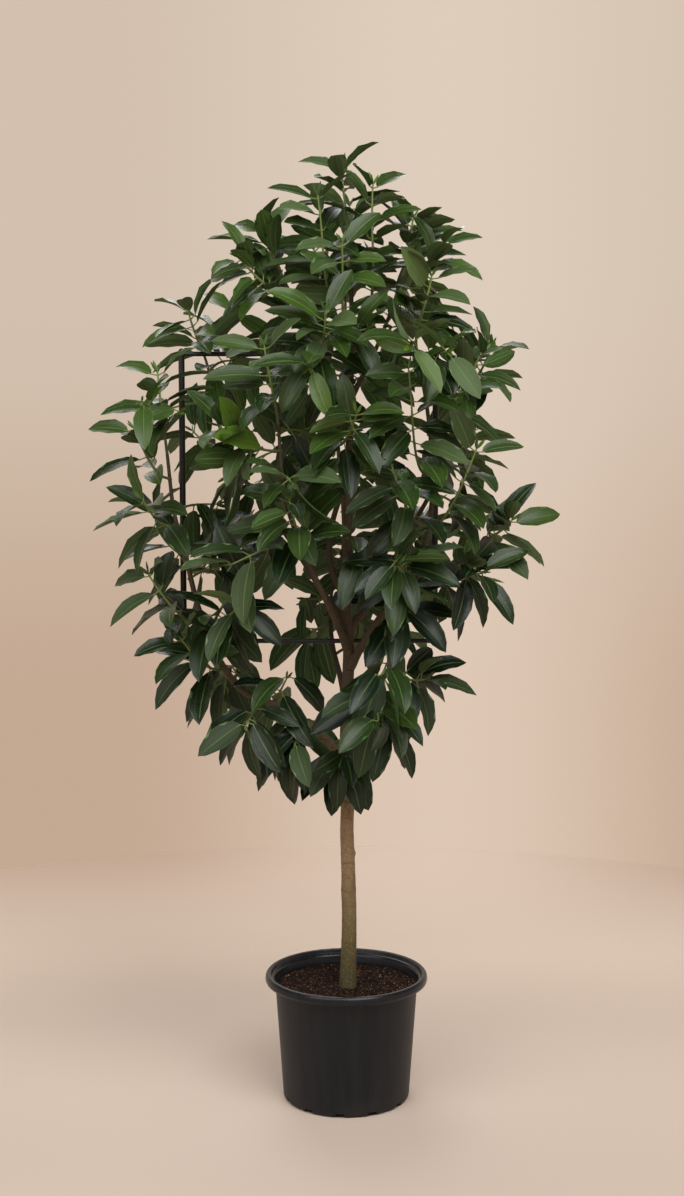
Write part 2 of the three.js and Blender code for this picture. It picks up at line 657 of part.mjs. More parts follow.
function growLeaf(stem, index, pair, face) {
  const t = pairShare(stem, pair);
  const { tangent, centre, radius, outwards } = stemSection(stem, t);
  const outward = outwards[face];
  const root = centre.clone().addScaledVector(outward, radius * 0.7);
  const fromAxis = vec(centre.x, centre.y, 0).normalize();
  const age = 1 - pair / stem.pairs;
  const young = Math.pow(pair / (stem.pairs - 1), 2) * THREE.MathUtils.clamp(1.4 - stem.hang, 0, 1);
  const low = THREE.MathUtils.clamp((1300 - centre.z) / 600, 0, 1);
  for (let attempt = 0; attempt < TRIES; attempt++) {
    const loose = attempt / TRIES;
    const grown = mix(GROWN_LEAF.upper, GROWN_LEAF.lower, low);
    const length = mix(YOUNG_LEAF, grown, Math.sqrt(age)) * (1 + spread(0.1)) * (1 - 0.28 * loose);
    const halfWidth = length * (0.19 + spread(0.02));
    const aim = outward
      .clone()
      .addScaledVector(tangent, 0.5 + 0.3 * young)
      .addScaledVector(fromAxis, 0.3)
      .addScaledVector(UP, -1.35 * stem.hang * (1 - 0.6 * young) + spread(0.2 + loose))
      .normalize();
    aim.applyAxisAngle(UP, spread(0.4 + 1.2 * loose));
    if (stalkDirection(outward, aim).dot(aim) < LEAST_TURN) continue;
    const lookUp = UP.clone()
      .addScaledVector(fromAxis, 0.35 + 0.5 * stem.hang)
      .add(vec(spread(0.35), spread(0.35), 0));
    const leaf = shapeLeaf(root, outward, aim, lookUp, length, halfWidth, 0.14 + 0.14 * random());
    if (!isClear(leaf, index)) continue;
    placed.push({ sheet: leaf.sheet, blade: leaf.blade, index });
    return leaf;
  }
  return null;
}

// A leaf's stalk starts on its own stem, beside the stalks of its pair, so only blades are held clear there
function isClear({ sheet, blade }, index) {
  if (fixed.some((other) => meet(sheet, other))) return false;
  for (const [i, tubes] of stemObstacles.entries()) {
    const part = i === index ? blade : sheet;
    if (tubes.some((tube) => meet(part, tube))) return false;
  }
  return !placed.some((other) => {
    if (other.index !== index) return meet(sheet, other.sheet);
    return meet(blade, other.sheet) || meet(sheet, other.blade);
  });
}

const mostPairs = Math.max(...stems.map((stem) => stem.pairs));
for (let fromTip = 1; fromTip <= mostPairs; fromTip++) {
  stems.forEach((stem, index) => {
    const pair = stem.pairs - fromTip;
    if (pair < 0) return;
    for (const face of pair % 2 ? [0, 2] : [1, 3]) {
      const leaf = growLeaf(stem, index, pair, face);
      if (leaf) stem.leaves.set(pair * 4 + face, leaf);
    }
  });
}

// Joins two rings of four points. Both faces of a blade are split along the same line, edge to rib
function joinRings(surface, low, high) {
  const [r0, t0, l0, b0] = low;
  const [r1, t1, l1, b1] = high;
  surface.triangle(r0, t0, t1);
  surface.triangle(r0, t1, r1);
  surface.triangle(t0, l0, t1);
  surface.triangle(l0, l1, t1);
  surface.triangle(l0, b0, b1);
  surface.triangle(l0, b1, l1);
  surface.triangle(b0, r0, b1);
  surface.triangle(r0, r1, b1);
}

function raiseLeaf(surface, corners, leaf) {
  // the face's corners are taken in the turn that twists the stalk least
  const twist = (ring) =>
    ring.reduce((sum, c, k) => sum + surface.positions[c].distanceToSquared(leaf.sections[0][k]), 0);
  const turns = [0, 1, 2, 3].map((turn) => corners.map((_, k) => corners[(k + turn) % 4]));
  let ring = turns.reduce((a, b) => (twist(b) < twist(a) ? b : a));
  for (const section of leaf.sections) {
    const next = section.map((p) => surface.point(p));
    joinRings(surface, ring, next);
    ring = next;
  }
  const tip = surface.point(leaf.tip);
  ring.forEach((corner, k) => surface.triangle(corner, ring[(k + 1) % 4], tip));
}

function makeShoot(stem) {
  const surface = new Surface();
  const ringAt = (t, offset) => stemSection(stem, t, offset).corners.map((p) => surface.point(p));
  let ring = ringAt(0, 0);
  surface.triangle(ring[0], ring[2], ring[1]);
  surface.triangle(ring[0], ring[3], ring[2]);
  const quad = (low, high, k) => [low[k], low[(k + 1) % 4], high[(k + 1) % 4], high[k]];
  const wall = ([a, b, c, d]) => {
    surface.triangle(a, b, c);
    surface.triangle(a, c, d);
  };
  const bare = (next) => {
    for (let k = 0; k < 4; k++) wall(quad(ring, next, k));
    ring = next;
  };
  bare(ringAt(FIRST_PAIR / 2, 0));
  for (let pair = 0; pair < stem.pairs; pair++) {
    const t = pairShare(stem, pair);
    bare(ringAt(t, -STEM.nodeHalf));
    const next = ringAt(t, STEM.nodeHalf);
    for (let k = 0; k < 4; k++) {
      const leaf = stem.leaves.get(pair * 4 + k);
      if (leaf) raiseLeaf(surface, quad(ring, next, k), leaf);
      else wall(quad(ring, next, k));
    }
    ring = next;
  }
  const end = stemSection(stem, 1, 0);
  const bud = surface.point(end.centre.clone().addScaledVector(end.tangent, STEM.bud));
  for (let k = 0; k < 4; k++) surface.triangle(ring[k], ring[(k + 1) % 4], bud);
  return meshOf(stem.name, surface.solid(), LEAF_GREEN);
}

const tree = new THREE.Group();
tree.name = "potted_cinnamon_tree";
tree.add(makePot(), makeSoil(), makeTrunk());
for (const [name, rod] of Object.entries(RODS)) tree.add(makeRod(name, rod));
for (const [name, z] of Object.entries(TIES)) tree.add(makeTie(name, z));
for (const stem of stems) tree.add(makeShoot(stem));

export default tree;
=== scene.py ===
import math
import random
from itertools import combinations

import bmesh
import bpy
import numpy as np
from mathutils import Matrix, Vector, noise
from mathutils.bvhtree import BVHTree


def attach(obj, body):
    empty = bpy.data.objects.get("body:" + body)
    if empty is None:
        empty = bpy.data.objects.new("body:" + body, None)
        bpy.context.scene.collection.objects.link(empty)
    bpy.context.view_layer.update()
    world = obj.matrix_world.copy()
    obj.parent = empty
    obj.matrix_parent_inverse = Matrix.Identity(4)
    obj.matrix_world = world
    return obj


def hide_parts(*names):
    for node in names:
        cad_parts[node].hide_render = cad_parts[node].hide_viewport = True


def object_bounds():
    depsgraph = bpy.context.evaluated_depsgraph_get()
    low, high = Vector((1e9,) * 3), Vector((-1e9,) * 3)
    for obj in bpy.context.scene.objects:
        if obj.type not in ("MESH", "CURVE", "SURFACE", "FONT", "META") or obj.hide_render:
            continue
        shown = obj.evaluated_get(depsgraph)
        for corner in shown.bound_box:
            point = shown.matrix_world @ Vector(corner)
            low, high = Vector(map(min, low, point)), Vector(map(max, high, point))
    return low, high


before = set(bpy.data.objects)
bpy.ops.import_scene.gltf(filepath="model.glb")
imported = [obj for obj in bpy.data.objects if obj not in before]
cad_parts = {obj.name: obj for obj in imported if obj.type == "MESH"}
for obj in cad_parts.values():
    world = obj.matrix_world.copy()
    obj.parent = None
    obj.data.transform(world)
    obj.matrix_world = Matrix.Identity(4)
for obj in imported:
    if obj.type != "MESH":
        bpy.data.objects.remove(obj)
cad_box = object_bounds()

# The view
# The tree is seen from three metres in front of it, from the height of its lower crown and slightly from above.
def shown(name, data):
    """An object in the scene."""
    piece = bpy.data.objects.new(name, data)
    bpy.context.scene.collection.objects.link(piece)
    return piece


camera = shown("camera", bpy.data.cameras.new("camera"))
camera.location = (-0.008, -2.999, 1.2115)
camera.rotation_euler = (math.radians(90 - 5.39), 0, 0)
camera.data.lens = 50
camera.data.sensor_width = 36
bpy.context.scene.camera = camera
bpy.context.scene.view_settings.view_transform = "Standard"


# The floor and the light
# A pale floor in a warm room whose ceiling is dimmer than its walls, a wide soft lamp above on the
# right, and weaker ones on the left and behind. The floor's colour carries painted light and shade: it is painted
# paler with distance, and darker far off except in a band to the right where the walls are lit.
FLOOR_RADIUS = 1.9
FLOOR_COLOUR = (0.68, 0.56, 0.47)
WALL_FOOT = ((0.552, 0.397, 0.292), (0.730, 0.578, 0.462))  # where the wall is dim and where it is lit
WALL_TOP = ((0.655, 0.535, 0.430), (0.735, 0.610, 0.500))
CEILING = (0.19, 0.16, 0.135)
WALL_SHADES = (-0.17, 0.10)  # how steeply one looks down or up at the foot and at the top of the walls
WALL_LIT = (0.06, 0.20)  # how far to the right the walls are brightest, and how far the light reaches
FLOOR_PAINTED_LIGHT = ((-0.4, 0.91), (0.3, 1.03), (0.9, 1.26), (1.9, 1.39))  # painted light: how much paler the floor is painted at each distance
FLOOR_FAR = (0.9, 1.9)  # where the floor takes on the painted shade of the dim walls, outside the band where they are lit
# painted shade: how much darker the floor is painted far off
FLOOR_PAINTED_SHADE = (0.756, 0.687, 0.632)
CEILING_FROM = (0.27, 0.50)
LAMPS = {  # place, what it is aimed at, width, watts
    "key": ((0.9, -1.9, 3.2), (0, 0, 1.0), 2.2, 84),
    "fill": ((-1.7, -2.0, 2.9), (0, 0, 0.8), 2.4, 48),
    "back": ((-0.5, 2.2, 3.0), (0, 0, 1.0), 1.8, 34),
}


class Wire:
    """An output of a node. Sums on it add Math nodes to its tree."""

    def __init__(self, nodes, socket):
        self.nodes, self.socket = nodes, socket

    def maths(self, operation, *values, clamp=False):
        return self.nodes.add("ShaderNodeMath", {"operation": operation, "use_clamp": clamp}, values)

    def __gt__(self, other):
        return self.maths("GREATER_THAN", self, other)

    def __abs__(self):
        return self.maths("ABSOLUTE", self)

    def sine(self):
        return self.maths("SINE", self)

    def clamped(self):
        return self.maths("ADD", self, 0, clamp=True)

    def step(self, low, high):
        """0 up to low and 1 from high on, or the other way round where low is the larger."""
        ends = (low, high, 0, 1) if low < high else (high, low, 1, 0)
        return self.nodes.add("ShaderNodeMapRange", {"interpolation_type": "SMOOTHSTEP"}, (self, *ends))


SIGNS = {"add": "ADD", "sub": "SUBTRACT", "mul": "MULTIPLY", "truediv": "DIVIDE", "pow": "POWER"}
for sign, operation in SIGNS.items():  # wire + 1 and its reflected form 1 + wire, and so on
    setattr(Wire, f"__{sign}__", lambda self, other, kind=operation: self.maths(kind, self, other))
    setattr(Wire, f"__r{sign}__", lambda self, other, kind=operation: self.maths(kind, other, self))


class Nodes:
    """A tree of nodes. A kind of node that is named without its family is of the tree's own."""
    family = "GeometryNode"

    def __init__(self, tree):
        self.tree = tree

    def add(self, kind, settings=(), inputs=(), output=0):
        """Adds a node, and gives back the output that is asked for."""
        node = self.tree.nodes.new(kind if "Node" in kind else self.family + kind)
        for name, value in dict(settings).items():
            if name == "stops":
                ramp = node.color_ramp.elements
                while len(ramp) < len(value):
                    ramp.new(0.5)
                for element, (place, colour) in zip(ramp, value):
                    element.position, element.color = place, (*colour, 1)
            else:
                setattr(node, name, value)
        for name, value in inputs.items() if isinstance(inputs, dict) else enumerate(inputs):
            if isinstance(value, Wire):
                self.tree.links.new(value.socket, node.inputs[name])
            else:
                node.inputs[name].default_value = value
        return None if output is None else Wire(self, node.outputs[output])

    def axis(self, vector, k):
        """The vector's part along the first, second or third axis."""
        return self.add("ShaderNodeSeparateXYZ", inputs=(vector,), output=k)

    def scaled(self, vector, scale):
        return self.add("ShaderNodeVectorMath", {"operation": "SCALE"}, {"Vector": vector, "Scale": scale})

    def mixed(self, factor, one, other):
        one, other = (c if isinstance(c, Wire) else (*c, 1) for c in (one, other))
        return self.add("ShaderNodeMix", {"data_type": "RGBA"}, {0: factor, 6: one, 7: other}, output=2)

    def layered(self, colour, *layers):
        """The colour under layers of others, each with its share."""
        for share, other in layers:
            colour = self.mixed(share, colour, other)
        return colour

    def given(self, name, kind="FLOAT"):
        """A value that the mesh carries."""
        return self.add("InputNamedAttribute", {"data_type": kind}, (name,))

    def joined(self, one, other):
        both = self.add("JoinGeometry", inputs=(one,))
        self.tree.links.new(other.socket, both.socket.node.inputs[0])
        return both


class Finish(Nodes):
    """A material. Its nodes end in one Principled shader."""
    family = "ShaderNode"

    def __init__(self, name):
        self.material = bpy.data.materials.new(name)
        self.material.use_nodes = True
        super().__init__(self.material.node_tree)
        self.tree.nodes.clear()

    def place(self):
        return self.add("TexCoord", output="Object")

    def height(self):
        return self.axis(self.place(), 2)

    def given(self, name):
        return self.add("Attribute", {"attribute_name": name}, output=2)

    def stretched(self, scales):
        """The place on the piece, scaled along each axis."""
        return self.add("VectorMath", {"operation": "MULTIPLY"}, (self.place(), scales))

    def noise(self, *scales, detail=3, roughness=0.55, distortion=0):
        """Noise of one scale, or of one for each axis."""
        vector, scale = (self.place(), *scales) if len(scales) == 1 else (self.stretched(scales), 1)
        sizes = {"Scale": scale, "Detail": detail, "Roughness": roughness, "Distortion": distortion}
        return self.add("TexNoise", inputs={"Vector": vector, **sizes})

    def pores(self, *scales):
        """The distance to the nearest pore."""
        return self.add("TexVoronoi", inputs={"Vector": self.stretched(scales), "Scale": 1.0})

    def tinted(self, factor, *stops):
        return self.add("ValToRGB", {"stops": stops}, (factor,))

    def raised(self, height, depth, strength):
        """A relief of that depth in metres."""
        return self.add("Bump", inputs={"Height": height, "Distance": depth, "Strength": strength})

    def shader(self, **sockets):
        """Ends the material. A socket's name is written with underscores."""
        named = {name.replace("_", " ").title().replace("Ior", "IOR"): value for name, value in sockets.items()}
        surface = self.add("BsdfPrincipled", inputs=named)
        self.add("OutputMaterial", inputs={"Surface": surface}, output=None)
        return self.material


paint = Finish("floor")
shade = paint.noise(1.2)
right, away = (paint.axis(paint.place(), k) for k in (0, 1))
# painted light: the floor is painted paler with distance
floor_painted_light = FLOOR_PAINTED_LIGHT[0][1] + sum((away.step(a, b) * (pale_b - pale_a)
    for (a, pale_a), (b, pale_b) in zip(FLOOR_PAINTED_LIGHT, FLOOR_PAINTED_LIGHT[1:])), 0)
# painted light: the band to the right where the walls are lit keeps the floor free of the painted shade
lit = abs(right / (away - camera.location.y) - WALL_LIT[0]).step(WALL_LIT[1], 0.0)
# painted shade: far off and outside that band the floor is painted darker, like the dim walls
floor_painted_shade = paint.mixed(away.step(*FLOOR_FAR) * (1 - lit), FLOOR_COLOUR, [a * b for a, b in zip(FLOOR_COLOUR, FLOOR_PAINTED_SHADE)])
tone = paint.scaled(floor_painted_shade, floor_painted_light * (0.985 + 0.03 * shade))
floor_paint = paint.shader(base_color=tone, roughness=0.9)


def made(name, shape, material):
    """A piece of a shape that is done."""
    mesh = bpy.data.meshes.new(name)
    shape.to_mesh(mesh)
    shape.free()
    mesh.materials.append(material)
    return shown(name, mesh)


disc = bmesh.new()
bmesh.ops.create_circle(disc, cap_ends=True, segments=96, radius=FLOOR_RADIUS)
made("floor", disc, floor_paint)

room = bpy.data.worlds.new("room")
room.use_nodes = True
room.node_tree.nodes.clear()
nodes = Nodes(room.node_tree)
way = nodes.add("ShaderNodeTexCoord", output="Generated")
aside, steep = (nodes.axis(way, k) for k in (0, 2))
lit = abs(aside - WALL_LIT[0]).step(WALL_LIT[1], 0.0)
foot, top = (nodes.mixed(lit, *tones) for tones in (WALL_FOOT, WALL_TOP))
tone = nodes.mixed(steep.step(*CEILING_FROM), nodes.mixed(steep.step(*WALL_SHADES), foot, top), CEILING)
glow = nodes.add("ShaderNodeBackground", inputs={"Color": tone})
nodes.add("ShaderNodeOutputWorld", inputs={"Surface": glow}, output=None)
bpy.context.scene.world = room
for name, (place, aim, width, watts) in LAMPS.items():
    lamp = shown(name, bpy.data.lights.new(name, "AREA"))
    lamp.data.energy, lamp.data.size = watts, width
    lamp.location = place
    lamp.rotation_euler = (Vector(aim) - Vector(place)).to_track_quat("-Z", "Y").to_euler()


# The pot
# A nursery pot of thin black plastic, moulded in one piece: a tapered wall, a collar and a rolled rim at the top,
# a small ledge inside the rim, and drain notches cut round the edge of its base.
POT_HEIGHT = 0.233
OUTSIDE = [(0, 0), (0.1127, 0), (0.1167, 0.005), (0.1312, 0.211), (0.1336, 0.2132), (0.1336, 0.218),
    (0.1482, 0.218), (0.1500, 0.2225), (0.1492, 0.2295), (0.1462, POT_HEIGHT)]
INSIDE = [(0.1398, 0.2326), (0.1378, 0.2262), (0.1342, 0.2246), (0.1322, 0.2215), (0.1290, 0.211), (0.1148, 0.004),
    (0, 0.004)]
ROUNDING = 0.0011
ROUNDING_POINTS = 4
POT_SIDES = 160
NOTCHES = 12
NOTCH_SIZE = (0.015, 0.017, 0.016)  # inwards, across and up, half of it below the base
NOTCH_TURN = math.radians(-96)
BASE_RADIUS = 0.1167


def rounded(profile, radius):
    """The profile's points with each corner eased."""
    points = [Vector((r, 0, z)) for r, z in profile]
    eased = [points[0]]
    for before, corner, after in zip(points, points[1:], points[2:]):
        one, other = before - corner, after - corner
        cut = min(radius, one.length * 0.45, other.length * 0.45)
        start, end = corner + one.normalized() * cut, corner + other.normalized() * cut
        for i in range(ROUNDING_POINTS):
            t = i / (ROUNDING_POINTS - 1)
            eased.append(start.lerp(corner, t).lerp(corner.lerp(end, t), t))
    return [*eased, points[-1]]


def turned(points, sides):
    """A closed solid turned round the upright axis, from a line that runs out from the axis and back to it."""
    line = [Vector(p) for p in points]
    start, *between, end = line
    corners = [start, end]
    for k in range(sides):
        turn = Matrix.Rotation(math.tau * k / sides, 3, "Z")
        corners += [turn @ p for p in between]
    rows = [[0, *range(2 + k * len(between), 2 + (k + 1) * len(between)), 1] for k in range(sides)]
    faces = []
    for row, beyond in zip(rows, rows[1:] + rows[:1]):
        for a, b, c, d in zip(row, beyond, beyond[1:], row[1:]):
            faces.append(list(dict.fromkeys((a, b, c, d))))
    if sum(p.x * q.z - q.x * p.z for p, q in zip(line, line[1:])) < 0:
        faces = [face[::-1] for face in faces]
    mesh = bpy.data.meshes.new("turned")
    mesh.from_pydata(corners, [], faces)
    return mesh


def tree_for(name, sockets):
    """A tree for a shape, with its named inputs, and the wires that they feed."""
    tree = bpy.data.node_groups.new(name, "GeometryNodeTree")
    for title, kind in {"Shape": "Geometry", **sockets}.items():
        tree.interface.new_socket(name=title, in_out="INPUT", socket_type="NodeSocket" + kind)
    tree.interface.new_socket(name="Shape", in_out="OUTPUT", socket_type="NodeSocketGeometry")
    nodes = Nodes(tree)
    given = tree.nodes.new("NodeGroupInput")
    return nodes, {title: Wire(nodes, given.outputs[title]) for title in ["Shape", *sockets]}


def closed_tree(nodes, shape, *painted):
    """Ends a tree: makes copies real and gives each selection its material."""
    shape = nodes.add("RealizeInstances", inputs=(shape,))
    for selection, material in painted:
        shape = nodes.add("SetMaterial", inputs=(shape, selection, material))
    nodes.add("NodeGroupOutput", inputs=(shape,), output=None)


def evaluated(piece):
    """The piece's mesh as its modifiers leave it, and no modifiers."""
    view = bpy.context.evaluated_depsgraph_get()
    mesh = bpy.data.meshes.new_from_object(piece.evaluated_get(view), preserve_all_data_layers=True, depsgraph=view)
    piece.modifiers.clear()
    piece.data = mesh


def shaped(name, mesh, nodes, sizes):
    """A piece with the mesh that a tree makes of the given one."""
    piece = shown(name, mesh)
    modifier = piece.modifiers.new(name, "NODES")
    modifier.node_group = nodes.tree
    inputs = {s.name: s.identifier for s in nodes.tree.interface.items_tree if s.in_out == "INPUT"}
    for title, value in sizes.items():
        modifier[inputs[title]] = value
    evaluated(piece)
    return piece


def handed_over(piece, sharp, slot, *nodes):
    """Smooths a piece up to that many degrees. It stands for those nodes and moves with the pot."""
    piece.data.shade_smooth()
    piece.data.set_sharp_from_angle(angle=math.radians(sharp))
    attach(piece, "root")
    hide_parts(*nodes)


# black plastic: satin, finely grained by the mould, rubbed paler along the rim and dusty low down and inside
POT_BLACK = (0.0046, 0.0062, 0.0100)
POT_RUBBED = (0.024, 0.026, 0.030)
POT_DUST = (0.085, 0.066, 0.050)
paint = Finish("pot_plastic")
height = paint.height()
clouds = paint.noise(9, 9, 5.4, detail=5)
grain = paint.noise(1500, detail=2)
streaks = paint.noise(60, 60, 3, detail=4, roughness=0.6)
scuffs = paint.noise(30, 30, 260, distortion=1.5).step(0.66, 0.74)
rim_wear = height.step(0.214, 0.231) * clouds.step(0.42, 0.7)
low_dust = height.step(0.045, 0.0) * clouds.step(0.35, 0.75)
colour = paint.layered(POT_BLACK, (streaks.step(0.35, 0.8) * 0.3, POT_RUBBED),
    ((rim_wear * 0.2 + scuffs * 0.2).clamped(), POT_RUBBED), (low_dust * 0.3, POT_DUST))
pot_plastic = paint.shader(
    base_color=colour,
    roughness=0.42 + 0.14 * clouds + 0.15 * low_dust + 0.1 * scuffs - 0.22 * height.step(0.212, 0.219),
    specular_ior_level=0.3,
    normal=paint.raised(grain + 0.6 * streaks, 0.00012, 0.55),
)

sizes = {"Notches": "Int", "Base radius": "Float", "Size": "Vector", "Turn": "Float", "Plastic": "Material"}
nodes, given = tree_for("drain_notches", sizes)
ring = nodes.add("MeshCircle", inputs={"Vertices": given["Notches"], "Radius": given["Base radius"]})
angle = nodes.add("InputIndex") * math.tau / given["Notches"]
spin = nodes.add("ShaderNodeCombineXYZ", inputs={"Z": angle})
punch = nodes.add("MeshCube", inputs={"Size": given["Size"]})
punches = nodes.add("InstanceOnPoints", inputs={"Points": ring, "Instance": punch, "Rotation": spin})
turn = nodes.add("ShaderNodeCombineXYZ", inputs={"Z": given["Turn"]})
punches = nodes.add("Transform", inputs={"Geometry": punches, "Rotation": turn})
punches = nodes.add("RealizeInstances", inputs=(punches,))
cut = nodes.add("MeshBoolean", {"operation": "DIFFERENCE", "solver": "EXACT"},
    {"Mesh 1": given["Shape"], "Mesh 2": punches})
closed_tree(nodes, cut, (True, given["Plastic"]))
pot = shaped("pot_shell", turned(rounded(OUTSIDE + INSIDE, ROUNDING), POT_SIDES), nodes, {
    "Notches": NOTCHES, "Base radius": BASE_RADIUS, "Size": NOTCH_SIZE, "Turn": NOTCH_TURN, "Plastic": pot_plastic})
handed_over(pot, 40, "pot_plastic", "pot")


# The potting mix
# Damp crumbs of bark and coir, nearly black below and red-brown where they dry, with a few pale chips.
# They fill the pot to about 27 mm below its rim and lie loosely round the foot of the trunk.
SOIL_TOP = 0.206
SOIL_FOOT = 0.0043
SOIL_EDGE = 0.1283
SOIL_FOOT_RADIUS = 0.1145
TRUNK_X = 0.003
HOLE_RADIUS = 0.0168
HOLE_FLOOR = 0.1157
SOIL_RINGS, SOIL_SIDES = 44, 128
LUMP_HEIGHT = 0.0024
LUMPS = ((45, 1), (130, 0.6), (420, 0.3))  # how fine, and the share of the height
EDGE_RISE = 0.002  # towards the pot's wall
CRUMB_SPACING = 0.0021
CRUMB_SIZES = (0.0010, 0.0030)
CRUMB_MARGIN = 0.0022
CRUMB_DENSITY = 190000  # most of them to a square metre

top = [(r, 0, SOIL_TOP) for r in np.linspace(HOLE_RADIUS, SOIL_EDGE, SOIL_RINGS)]
under = [(SOIL_EDGE - 0.0002, 0, SOIL_TOP - 0.004), (SOIL_FOOT_RADIUS, 0, SOIL_FOOT), (0, 0, SOIL_FOOT)]
soil_mesh = turned([(0, 0, HOLE_FLOOR), (HOLE_RADIUS, 0, HOLE_FLOOR), *top, *under], SOIL_SIDES)
for corner in soil_mesh.vertices:
    radius = corner.co.xy.length
    if corner.co.z > HOLE_FLOOR - 0.001:
        corner.co.x += TRUNK_X * (1 - radius / SOIL_EDGE)
    if corner.co.z > SOIL_TOP - 0.001:
        lumps = sum(share * noise.noise(corner.co * scale) for scale, share in LUMPS)
        corner.co.z += LUMP_HEIGHT * lumps + EDGE_RISE * (radius / SOIL_EDGE) ** 4

paint = Finish("potting_mix")
fine, damp = paint.noise(700, detail=4), paint.noise(26)
browns = paint.tinted((paint.given("crumb") * 0.8 + fine * 0.35 - damp * 0.22).clamped(),
    (0, (0.0040, 0.0018, 0.0009)), (0.35, (0.014, 0.0058, 0.0027)), (0.6, (0.058, 0.0230, 0.0105)),
    (0.82, (0.120, 0.058, 0.030)), (0.96, (0.36, 0.25, 0.155)))
potting_mix = paint.shader(base_color=browns, roughness=0.95, specular_ior_level=0.2,
    normal=paint.raised(fine, 0.0006, 0.7))

nodes, given = tree_for("crumbs",
    {"Spacing": "Float", "Smallest": "Float", "Largest": "Float", "Seed": "Int", "Mix": "Material"})
facing = nodes.axis(nodes.add("InputNormal"), 2)
spot = nodes.add("InputPosition")
level = nodes.axis(spot, 2)
flat = nodes.add("ShaderNodeVectorMath", {"operation": "MULTIPLY"}, (spot, (1, 1, 0)))
reach = nodes.add("ShaderNodeVectorMath", {"operation": "LENGTH"}, (flat,), output=1)
on_top = facing.step(0.5, 0.51) * level.step(SOIL_TOP - 0.009, SOIL_TOP - 0.0089) * reach.step(
    SOIL_EDGE - CRUMB_MARGIN, SOIL_EDGE - CRUMB_MARGIN - 0.0001)
points = nodes.add("DistributePointsOnFaces", {"distribute_method": "POISSON"}, {
    "Mesh": given["Shape"], "Selection": on_top, "Distance Min": given["Spacing"], "Density Max": CRUMB_DENSITY,
    "Seed": given["Seed"]})


def chance(nodes, low, high, seed, kind="FLOAT"):
    """A random number, or a random vector, for each place."""
    first, output = {"FLOAT": (2, 1), "FLOAT_VECTOR": (0, 0)}[kind]
    inputs = {first: low, first + 1: high, "Seed": seed}
    return nodes.add("FunctionNodeRandomValue", {"data_type": kind}, inputs, output=output)


ball = nodes.add("MeshIcoSphere", inputs={"Radius": 1.0, "Subdivisions": 1})
turn = chance(nodes, (0, 0, 0), (math.tau, math.tau, math.tau), given["Seed"], "FLOAT_VECTOR")
girth = chance(nodes, 0.0, 1.0, given["Seed"] + 1)
size = given["Smallest"] + (given["Largest"] - given["Smallest"]) * girth ** 2.5
uneven = nodes.scaled(chance(nodes, (0.6, 0.5, 0.35), (1.5, 1.0, 0.8), given["Seed"] + 2, "FLOAT_VECTOR"), size)
crumbs = nodes.add("InstanceOnPoints", inputs={
    "Points": points, "Instance": ball, "Rotation": turn, "Scale": uneven})
crumbs = nodes.add("StoreNamedAttribute", {"domain": "INSTANCE"}, {
    "Geometry": crumbs, "Name": "crumb", "Value": chance(nodes, 0.0, 1.0, given["Seed"] + 3) ** 1.4})
closed_tree(nodes, nodes.joined(given["Shape"], crumbs), (True, given["Mix"]))
soil = shaped("potting_mix_crumbs", soil_mesh, nodes, {
    "Spacing": CRUMB_SPACING, "Smallest": CRUMB_SIZES[0], "Largest": CRUMB_SIZES[1], "Seed": 7, "Mix": potting_mix})
handed_over(soil, 50, "potting_mix", "potting_mix")


